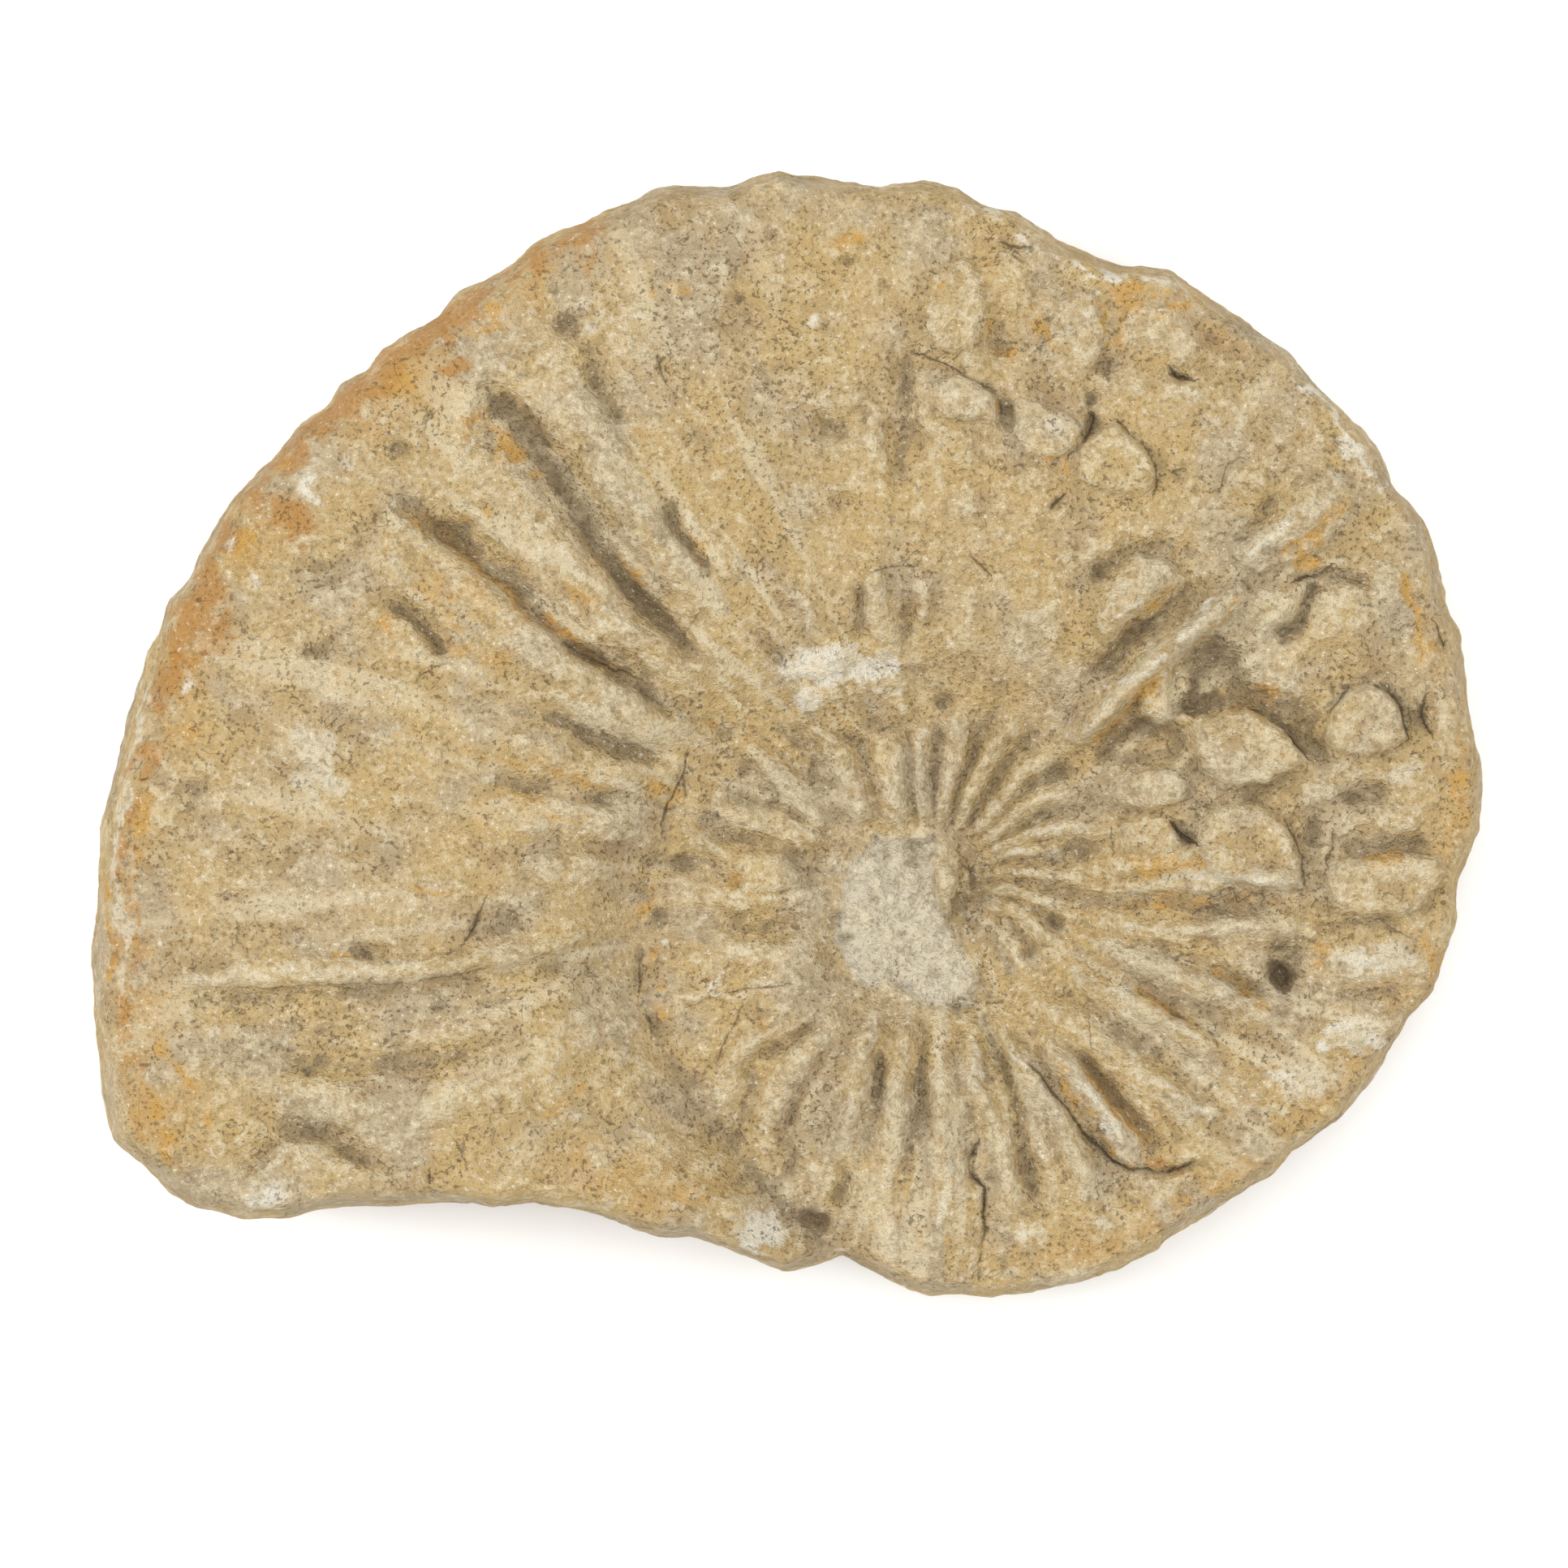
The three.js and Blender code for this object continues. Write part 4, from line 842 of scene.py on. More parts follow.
# %% [markdown]
# The belly, which is the outer edge of the shell, was broken out of rougher rock than the face. Its
# points are pushed in and out along the way that they face, by noise in three dimensions, and least
# where the shell lies on the floor.

# %% Roughen the belly
BELLY_ROUGHNESS = 1.1
outwards = np.stack([places[:, 0], places[:, 1], np.zeros(len(places))], axis=-1)
outwards /= np.maximum(np.linalg.norm(outwards, axis=1), 1)[:, None]
on_belly = fade(np.abs(down - 1.02) / 0.26) * (down > FACE_SHARE - 0.02)
swell = rock_noise(*places.T, 14, 4, 10) * 0.8 + rock_noise(*places.T, 4, 3, 11) * 0.35
places += outwards * (on_belly * BELLY_ROUGHNESS * (swell - 0.25))[:, None]
places[:, 2] = np.where(down < 1.9, np.maximum(places[:, 2], 0), places[:, 2])
print("the belly moves by up to", round(float(np.abs(on_belly * swell).max()), 2), "mm")

# %% [markdown]
# Dirt and painted shade darken the hollows and wear shows on crests, so the material has to know both.
# The height of the face is worked out on a square grid, blurred, and compared with itself: where the
# blurred height is above the real one, the point lies in a hollow.

# %% Measure hollows and crests
CELL = 0.7
grid_x, grid_y = np.arange(-144, 144, CELL), np.arange(-118, 118, CELL)
grid_height = face_height(*[g.ravel() for g in np.meshgrid(grid_x, grid_y)])
grid_height = grid_height.reshape(len(grid_y), len(grid_x))


def blurred(grid, radius):
    """The grid averaged over about a radius in millimetres, by three passes of a box."""
    reach = max(1, round(radius / CELL))
    for axis in (0, 1) * 3:
        ends = [(reach + 1, reach) if a == axis else (0, 0) for a in (0, 1)]
        sums = np.cumsum(np.pad(grid, ends, mode="edge"), axis=axis)
        cells = np.arange(grid.shape[axis])
        run = np.take(sums, cells + 2 * reach + 1, axis=axis) - np.take(sums, cells, axis=axis)
        grid = run / (2 * reach + 1)
    return grid


def at_vertices(grid):
    """Reads the grid at every vertex."""
    column = np.clip((places[:, 0] - grid_x[0]) / CELL, 0, len(grid_x) - 1.001)
    row = np.clip((places[:, 1] - grid_y[0]) / CELL, 0, len(grid_y) - 1.001)
    i, j = column.astype(int), row.astype(int)
    u, v = column - i, row - j
    near = grid[j, i] * (1 - u) + grid[j, i + 1] * u
    far = grid[j + 1, i] * (1 - u) + grid[j + 1, i + 1] * u
    return near * (1 - v) + far * v


BELLY_DENTS = -0.8  # how far the swells of the belly count as hollows
on_face = down < FACE_SHARE
depths = {}
for name, radius in (("dent", 1.2), ("hollow", 3.5), ("valley", 9.0)):
    depth = at_vertices(blurred(grid_height, radius) - grid_height)
    depths[name] = np.where(on_face, depth, BELLY_DENTS * swell)
    print(name, "from", round(float(depth.min()), 2), "to", round(float(depth.max()), 2), "mm")

# %% [markdown]
# The stone isn't one colour. Iron has stained it ochre and rust, most on the old outer edge at the
# upper left; scraped crests are pale or chalky; and grey and brown dirt lies in the grooves. In the
# hollows and pits, under overhanging edges and along the bottoms of narrow grooves, the grey and the
# darkest brown are painted shade as well as dirt. The pale line along each rib's crest is painted
# highlight as well as wear, and the chalk along the upper right rim is painted highlight as well as
# pale stone. Each stain is a list of soft ovals and strokes. Noise makes its border ragged, as where a
# stain soaks in, and the outcome is kept with the mesh as one number for each vertex. Below the rim
# every stain fades to an even share, because the photograph doesn't show the belly.

# %% List the ochre and rust stains
OCHRE_OVALS = [
    (-56, 58, 4, 3, -45, 0.9), (-49, 50, 2, 6, 42, 0.8), (-60, 64, 2, 3, 0, 0.6),
    (-54, 56, 5, 3.4, -45, 1.0), (-66, 39, 5, 2.2, -35, 1.0), (-79, 23, 3, 2.4, -30, 0.8),
    (-106, 15, 6, 2.4, 10, 0.8), (-100, 54, 5, 4, 40, 0.8), (-108, 38, 3, 5, 0, 0.9),
    (-119, -3, 4, 4, 0, 0.7), (-43, 42, 2.4, 8, 40, 0.7), (-31, 33, 2.4, 9, 38, 0.6),
    (-17, 38, 2, 4, 30, 0.8), (-62, 44, 8, 4, -42, 0.6), (-16, 3, 1.6, 1.6, 0, 0.8),
    (-120, 14, 4, 5, 0, 0.7), (-20, 62, 1.6, 2, 0, 0.6), (-30, 60, 5, 1.2, 20, 0.5),
    (-60, 80, 10, 6, 25, 0.6), (-62, 61, 5, 4, 0, 0.9), (-55, 55, 6, 3, -45, 0.8), (-76, 70, 7, 4, 30, 0.8),
    (-66, 82, 7, 4, 40, 0.7), (-107, 38, 5, 8, -30, 0.7), (-117, 0, 6, 10, 0, 0.6),
    (-127, -15, 5, 9, 0, 0.7), (13, 98, 7, 4, 0, 0.7), (-23, 88, 6, 4, 0, 0.6), (42, 76, 5, 3.6, 0, 0.8),
    (50, 80, 2.4, 8, 14, 0.8), (66, 80, 2.4, 7, -12, 0.7), (103, 34, 7, 3, 35, 0.9),
    (105.4, -43, 2.4, 5, 0, 0.8), (-5, -57, 5, 3, 0, 0.7), (-30, -72, 5, 3, 0, 0.7),
    (-22, -90, 10, 3, -10, 0.7), (75, -25.5, 13, 3, 0, 0.9), (117, -24, 11, 2.2, -4, 0.9),
    (133, -10, 4, 14, 0, 0.8), (133, 8, 3, 10, 0, 0.5), (129, -45, 4, 12, 20, 0.7),
    (-50, -12, 30, 30, 0, 0.35), (-80, 10, 40, 34, 0, 0.3), (-60, 25, 24, 20, -40, 0.5),
    (-40, 30, 9, 22, 38, 0.35), (70, 85, 16, 5, -30, 0.6), (100, 62, 4, 10, 30, 0.4),
    (60, -72, 9, 16, 38, 0.5), (30, -100, 26, 8, -4, 0.3), (37, 50, 30, 20, 0, 0.2),
    (-27, -46, 6, 30, 8, 0.5), (-26, -10, 5, 12, 30, 0.5), (-44, -72, 10, 5, 40, 0.4),
    (80, -92, 14, 4, 28, 0.5), (-124, -40, 8, 24, 0, 0.4), (122, -38, 5, 3, -30, 0.8),
    (94, 8, 9, 2.4, 5, 0.9), (-12, 52, 6, 10, 20, 0.3),
]
OCHRE_STROKES = [
    (1.0, 1.0, 1.1, [(58, -2.6), (64, 3), (70, 9), (76, 14)]),
    (0.9, 1.0, 1.0, [(78, 16), (84, 22), (89, 27)]),
    (0.9, 0.9, 1.0, [(66, 20), (72, 25.6), (77.6, 31.4)]),
    (1.1, 1.4, 1.1, [(95, 34), (103, 38), (108, 43), (111, 48)]),
    (1.4, 1.8, 0.9, [(121, 34), (124, 24), (127, 12)]),
    (0.8, 0.6, 1.0, [(80.6, -2), (82, 2), (86, 5), (90, 5.2), (95, 3.4)]),
    (0.7, 0.6, 0.8, [(29, 76), (27.6, 83), (30, 90)]),
    (0.9, 0.9, 0.9, [(38.6, 78), (39, 84), (38, 90)]),
    (0.9, 0.9, 0.9, [(62.6, 75), (63.4, 80), (61, 86)]),
    (1.2, 1.2, 0.9, [(66, 88.6), (74, 87.6), (82, 84)]),
    (0.8, 0.8, 0.8, [(50, 57), (54, 54), (56, 50)]),
    (0.8, 0.8, 1.0, [(36, 63), (40, 64), (41, 67)]),
    (0.7, 0.7, 1.0, [(54, 63.6), (57, 60.6), (56, 57)]),
    (1.2, 1.0, 1.0, [(-134.6, -26), (-134, -34), (-133, -42), (-131.6, -50)]),
    (0.9, 0.8, 0.9, [(-130, -36), (-129.4, -42), (-128, -47)]),
    (0.8, 0.8, 0.8, [(-126, -16), (-127.4, -26), (-126.4, -32)]),
    (1.4, 1.8, 0.9, [(-129, -66), (-125, -72), (-122, -78), (-121, -87)]),
    (2.0, 1.6, 0.7, [(-124, -58), (-118, -66), (-114, -72), (-112, -80)]),
    (1.0, 0.8, 0.9, [(-89, -43), (-84, -43.6), (-86, -46), (-90, -45.6)]),
    (1.0, 1.2, 0.7, [(-64, -31), (-74, -30)]),
    (2.2, 3.2, 0.9, [(-50, 24), (-60, 34), (-66, 39), (-75, 46)]),
    (1.6, 1.6, 1.0, [(-29, 10.5), (-40, 16.5), (-50, 24.5)]),
    (1.6, 2.0, 0.9, [(60, -2), (64, 2), (72, 11)]),
    (2.0, 2.0, 0.7, [(86, 4), (91, 6.5), (97, 5)]),
    (2.0, 2.4, 0.9, [(82, -46), (90, -50), (96, -53)]),
    (2.0, 2.4, 0.8, [(68, -50), (73, -53), (80, -56)]),
    (2.4, 3.4, 1.0, [(58, -64), (63, -70), (68, -77), (73, -83)]),
    (1.4, 1.6, 0.9, [(50, -62), (57, -72), (62, -79), (67, -85)]),
    (1.6, 1.6, 0.8, [(-12, -27), (-9, -30)]),
    (1.4, 2.0, 0.7, [(61, -33.2), (75, -32.8), (88, -32), (101, -31.5)]),
    (2.4, 4.4, 0.6, [(-31, -5), (-40, -9), (-54, -3)]),
]
RUST_OVALS = [
    (39.6, 92.4, 1.4, 1.2, 0, 1.1), (41, 76, 2, 3, 0, 0.9), (78, 87.4, 1.6, 0.8, 0, 1.0),
    (75.6, -85, 3, 0.9, 0, 1.0), (-109, 44, 5, 6, -35, 0.7), (-92, 62, 6, 4, 38, 0.8),
    (-80, 72, 6, 4, 38, 0.8), (-118, 20, 4, 6, -15, 0.8), (-96, 58, 5, 3, 35, 1.0),
    (-104, 46, 5, 5, 40, 1.0), (-96, 41.6, 4, 2.4, -15, 1.0), (-95, 37, 2.6, 1.8, 0, 0.9),
    (-113.4, 29, 4.6, 8, -15, 1.1), (-121, 25, 3, 4, -20, 0.9), (-112, 18, 7, 5, 0, 0.7),
    (-125, -3, 3, 4, 10, 1.1), (-86, 67, 6, 3.4, 35, 0.8), (-70, 78, 9, 6, 30, 0.6),
    (-66, 72, 5, 2, 10, 1.0), (-117, 34, 3, 5, -25, 0.7), (-77, 75, 9, 5, 35, 1.0),
    (-97, 43, 6, 7, -30, 0.9), (-113, 32, 5, 8, -25, 1.0), (-113, 22, 6, 5, 0, 0.9),
    (-60, 90, 8, 3, 35, 0.6), (-122, 10, 5, 10, -10, 0.8), (-127, -6, 4, 8, -10, 0.7),
    (-130, -58, 3, 14, 0, 0.7), (-127, -40, 3, 12, 0, 0.5), (-100, 57, 8, 5, 45, 0.7),
    (-38, 102, 12, 2.4, 20, 0.6), (76, -85.6, 9, 1.4, 0, 0.8), (-42, 92, 9, 4, 25, 0.4),
    (-128, -76, 3, 8, 0, 0.5), (120, 64, 3, 6, 0, 0.2), (-24, 32, 2, 6, 30, 0.5),
]
RUST_STROKES = [
    (0.5, 0.5, 1.1, [(-90, -14.4), (-89.4, -14.8)]),
    (0.6, 0.6, 1.1, [(-91.8, -18.2), (-89.2, -18)]),
    (1.2, 1.0, 0.9, [(-128, -29), (-129, -34), (-128.6, -39)]),
    (0.7, 0.7, 0.9, [(-134.4, -36), (-133.2, -44), (-132.6, -50)]),
    (0.8, 0.8, 0.8, [(-127, -60), (-127.4, -66)]),
    (1.0, 1.0, 0.7, [(-126, -20), (-127.6, -28)]),
    (2.4, 3.0, 1.0, [(-44, 99), (-58, 89), (-72, 80), (-84, 70), (-94, 61), (-104, 51)]),
    (3.0, 3.0, 1.1, [(-106, 47), (-113, 36), (-117, 26), (-121, 15), (-125, 3)]),
    (2.0, 2.4, 0.8, [(-128, -10), (-131, -26), (-131, -44)]),
    (4.0, 6.0, 0.85, [(-26, 105), (-50, 94), (-64, 84), (-78, 73), (-90, 64), (-100, 54), (-112, 40)]),
    (5.0, 4.0, 0.75, [(-112, 40), (-116, 25), (-122, 12), (-126, -2)]),
    (1.4, 1.4, 0.9, [(-70, 70), (-66, 71.4), (-62, 72)]),
    (1.3, 1.3, 0.9, [(-20, 40), (-18, 35), (-16, 31)]),
    (1.0, 1.2, 0.9, [(-38, 16), (-44, 19.5), (-50, 24)]),
    (1.2, 1.2, 0.7, [(65, -85), (70, -86)]),
]
WARM_STROKES = [
    (12, 14, 0.9, [(-34, 104), (-52, 94), (-72, 80), (-90, 64), (-104, 50)]),
    (14, 12, 1.0, [(-100, 54), (-112, 40), (-119, 24), (-125, 8), (-129, -6)]),
    (10, 12, 0.8, [(-131, -20), (-132, -40), (-130, -64), (-124, -86)]),
    (6, 8, 0.8, [(131, 24), (136, 4), (137, -14), (132, -36)]),
    (7, 7, 0.6, [(126, -44), (112, -70), (92, -88), (66, -102), (40, -108)]),
    (8, 6, 0.6, [(-46, -84), (-30, -88), (-12, -92)]),
    (5, 6, 0.5, [(60, -66), (68, -78), (73, -84)]),
    (6, 6, 0.6, [(62, 89), (78, 84), (92, 76)]),
]
print(len(OCHRE_OVALS + OCHRE_STROKES), "ochre stains and", len(RUST_OVALS + RUST_STROKES), "of rust")

# %% List the pale and grey stains
PALE_OVALS = [
    (-127.6, 3, 1.6, 14, -14, 1.2), (-131, -18, 1.4, 12, -8, 1.0), (-63, 57, 2, 2, 0, 1.0),
    (-71.5, 61, 1.4, 2, 0, 1.0), (-44, 36.4, 1.4, 2, 30, 1.0), (-22, 3.4, 2, 1, -25, 1.1),
    (-38, 24, 1, 1.6, 30, 0.9), (-38.4, 58.6, 1, 1.6, 30, 1.0), (-45, -13.4, 2.6, 0.9, 10, 1.1),
    (-95, 49, 5, 4, -30, 0.7), (-40, 80, 4, 3, 0, 0.7), (-29, 82, 2.6, 1.6, 20, 0.8),
    (-86, 54.6, 0.8, 4, -38, 1.0), (-75, 31, 1, 2.4, 15, 0.8), (-92, -4, 9, 15, 0, 0.8),
    (12, 15, 15, 3.8, -2, 1.0), (0, 13, 5, 4, 0, 0.9), (-102, -90, 6, 4, 10, 1.0),
    (119, -43, 8, 4.4, -8, 0.8), (112, -59, 9, 5, 25, 0.8), (104, -68, 10, 6, 32, 0.5),
    (48, -98, 4, 4, 0, 0.6), (61, -97, 4.4, 4, 10, 0.7), (-5, -98, 7, 5, -10, 0.9),
    (42, -107, 9, 2.2, 0, 0.8), (97, 41, 7, 2.2, 40, 0.9), (83, 62, 14, 8, -20, 0.4),
    (120, -8, 8, 5, 0, 0.6), (32, 84, 4, 7, 8, 0.4), (56, 79, 3.4, 6, 14, 0.5),
    (51.5, 60, 4.4, 3.6, -20, 0.7), (37, 67, 4.4, 3, 0, 0.8), (-40, 84, 6, 5, 0, 0.5),
    (90, -8, 5, 3, 0, 0.3), (-43, 36, 4, 1.6, -45, 0.8), (-63, 57, 3, 2, 0, 0.8), (-71, 61, 3, 2, 0, 0.6),
    (-38, 23, 3, 1.6, 0, 0.7), (-100, -88, 10, 3, 0, 0.6), (-38, -92, 14, 3, -10, 0.5),
    (17, -58, 2, 3, 0, 0.8), (-74, -58.6, 4, 1.2, 0, 0.7), (-44, -13, 3.4, 1.6, -12, 0.7),
    (-35, -19, 3, 1.4, 0, 0.7), (-90, 28, 9, 5, -30, 0.3), (-95, 48, 10, 7, -35, 0.3),
    (20, 76, 3, 3, 0, 0.5), (5, 82, 3, 3, 0, 0.6), (95, -76, 12, 8, 35, 0.45), (108, 50, 5, 9, 30, 0.4),
]
PALE_STROKES = [
    (1.2, 1.0, 0.9, [(-131.4, -12), (-132, -24), (-131.4, -36), (-130.4, -52)]),
    (0.5, 0.4, 1.0, [(-123.4, -37), (-124.2, -42), (-125, -46)]),
    (0.5, 0.4, 0.9, [(-118, -46.6), (-112, -47), (-106, -45), (-98, -43.6)]),
    (0.9, 0.6, 0.8, [(-123, -50), (-121, -52.6)]),
    (0.6, 0.5, 1.0, [(-76, -58.8), (-72.6, -59)]),
    (0.5, 0.4, 0.8, [(-110, -30), (-111, -33)]),
    (0.8, 0.6, 0.6, [(-128.6, -56), (-126, -62), (-123, -66)]),
    (0.9, 1.1, 0.9, [(55, -1), (62, 5), (70, 12), (78, 19.4), (87, 27.6)]),
    (1.5, 1.8, 0.95, [(62, -30.4), (70, -29.4), (80, -28.6), (90, -27.6), (101, -28.6)]),
    (1.6, 2.4, 0.9, [(52, -62), (56, -66), (60, -71), (64, -76), (67, -81)]),
    (1.6, 2.0, 0.5, [(92, 36), (98, 41), (104, 46)]),
    (1.0, 1.0, 0.8, [(30.6, -90), (30.4, -98)]),
    (0.9, 0.9, 0.7, [(20, 79), (21.5, 74)]),
    (1.2, 1.4, 0.7, [(58, -40), (64, -42), (72, -45)]),
    (1.2, 1.4, 0.6, [(56, -47), (62, -50), (70, -54), (76, -57)]),
    (1.2, 1.4, 0.6, [(66, -62), (72, -67), (79, -73)]),
    (1.2, 1.6, 0.7, [(64, -36), (71, -38.4), (78, -39), (84, -38)]),
    (1.1, 1.4, 0.5, [(-23, 35), (-33, 50), (-38, 59), (-44, 67)]),
    (1.4, 2.0, 0.5, [(-62, -45), (-80, -46.4), (-96, -45.8), (-112, -47)]),
]
# Grey stains. Where an oval lies over a hollow, its grey is painted shade in that hollow as well as dirt.
GREY_OVALS = [
    (-50, 58, 5, 13, 42, 0.9), (-40, 42, 5, 12, 36, 0.8), (-31, 29, 4, 10, 40, 0.7),
    (-56, 62, 5, 6, 0, 0.6), (-66, -54, 30, 5, 3, 0.8), (-100, -66, 20, 5, 0, 0.7),
    (-60, -62, 16, 5, 10, 0.6), (-108, -52, 12, 4, 0, 0.7), (70, 44, 9, 4, -30, 0.6),
    (58, 44, 6, 5, 0, 0.5), (88, 58, 9, 4, -25, 0.5), (84, 50, 4, 4, 0, 0.6), (46, 72, 3, 5, 0, 0.6),
    (60, 68, 3, 6, 0, 0.7), (45, 58, 2.4, 5, 0, 0.6), (102, 24, 8, 5, 30, 0.6), (96, 52, 6, 3, -30, 0.5),
    (26, 78, 2, 6, 0, 0.5), (99, -43, 9, 7, 0, 1.0), (86, 14, 12, 8, 20, 0.9), (70, 0, 9, 5, 10, 0.8),
    (110, 14, 12, 5, -10, 0.6), (-50, 62, 4, 9, 38, 0.7), (-36, 38, 4, 7, 42, 0.6),
    (-28, 25, 4, 5, 42, 0.8), (-35, 17, 7, 2.4, -28, 0.7), (-52, 33, 3, 2, -40, 0.6),
    (-69, 44, 5, 2.6, -35, 0.7), (-116, 3, 3, 3, -40, 0.9), (-100, 8, 7, 3, -25, 0.5),
    (-92.6, 5, 1.6, 3.6, 45, 0.8), (-74, 22, 2, 6, 40, 0.9), (-35, -1.4, 5, 1.4, -20, 0.8),
    (-51, -8.8, 6, 1.6, -12, 0.8), (-70, -1, 5, 1.6, 0, 0.6), (-79, 57, 4, 3, 0, 0.7),
    (-119, -9, 3, 1.6, 0, 0.8), (-60, 60, 3, 7, 40, 0.4), (-10, 75, 34, 28, -20, 0.75),
    (10, 92, 24, 10, 0, 0.4), (-45, 48, 5, 14, 38, 0.7), (-30, 24, 8, 5, -45, 0.6),
    (-56, -36.6, 7, 4, 8, 0.8), (-91, 33, 7, 6, 0, 0.7), (-92, 17, 5, 5, 0, 0.8), (-117, -11, 5, 5, 0, 0.8),
    (-77, 56, 6, 4, -30, 0.7), (-44, 80, 3.6, 4, 0, 0.9), (-85, -61, 32, 8, -3, 0.85),
    (-72, -52, 36, 4.4, 3, 0.8), (-100, -55, 16, 4, 0, 0.7), (-95, -78, 14, 4, 25, 0.6),
    (64.5, 53, 7, 5.6, -25, 0.7), (8, 60, 5, 4, 0, 0.7), (84, 12, 9, 12, 30, 0.6),
    (105, 12, 16, 8, -10, 0.5), (114, 3, 7, 6, 0, 0.35), (99, -44, 7, 7, 0, 0.6), (-34, -83, 4, 3, 0, 0.7),
    (-38, -87, 3, 3, 0, 0.7), (-22, -26, 6, 4, 0, 0.6), (-26, -36, 5, 4, 0, 0.6), (-13, -35, 18, 3, 0, 0.4),
    (0, -61, 9, 4, -25, 0.5), (40, -66, 4, 7, 10, 0.5), (72, -60, 9, 4, -35, 0.5),
    (84, -54, 8, 3, -25, 0.5), (4, -94, 7, 4, -20, 0.7), (-5, -78, 10, 8, 0, 0.35),
    (-108, -32, 5, 4, 0, 0.7), (13, 5, 12, 5, 4, 0.35), (24, 62, 4, 18, 3, 0.45), (30, 40, 22, 14, 0, 0.25),
    (75, 55, 6, 8, 0, 0.4), (100, 26, 10, 5, 20, 0.4), (120, -1, 12, 6, 20, 0.3),
    (-36, -9, 12, 3, -10, 0.4), (-45, 2, 10, 2.4, -20, 0.4), (-34, 14, 14, 3.4, -30, 0.6),
    (-40, 68, 3, 8, 25, 0.6), (60, -92, 16, 8, 20, 0.3), (-60, 68, 3.4, 4, 0, 0.8),
    (-84, -16, 6, 5, 0, 0.35), (-83, -42.6, 4.4, 2, -15, 0.9), (-107, -24, 5, 3, 0, 0.5),
    (-97, -24, 5, 3, 0, 0.5), (-92, -50, 26, 3, 0, 0.3),
]
print(len(PALE_OVALS + PALE_STROKES), "pale stains and", len(GREY_OVALS), "grey ones")
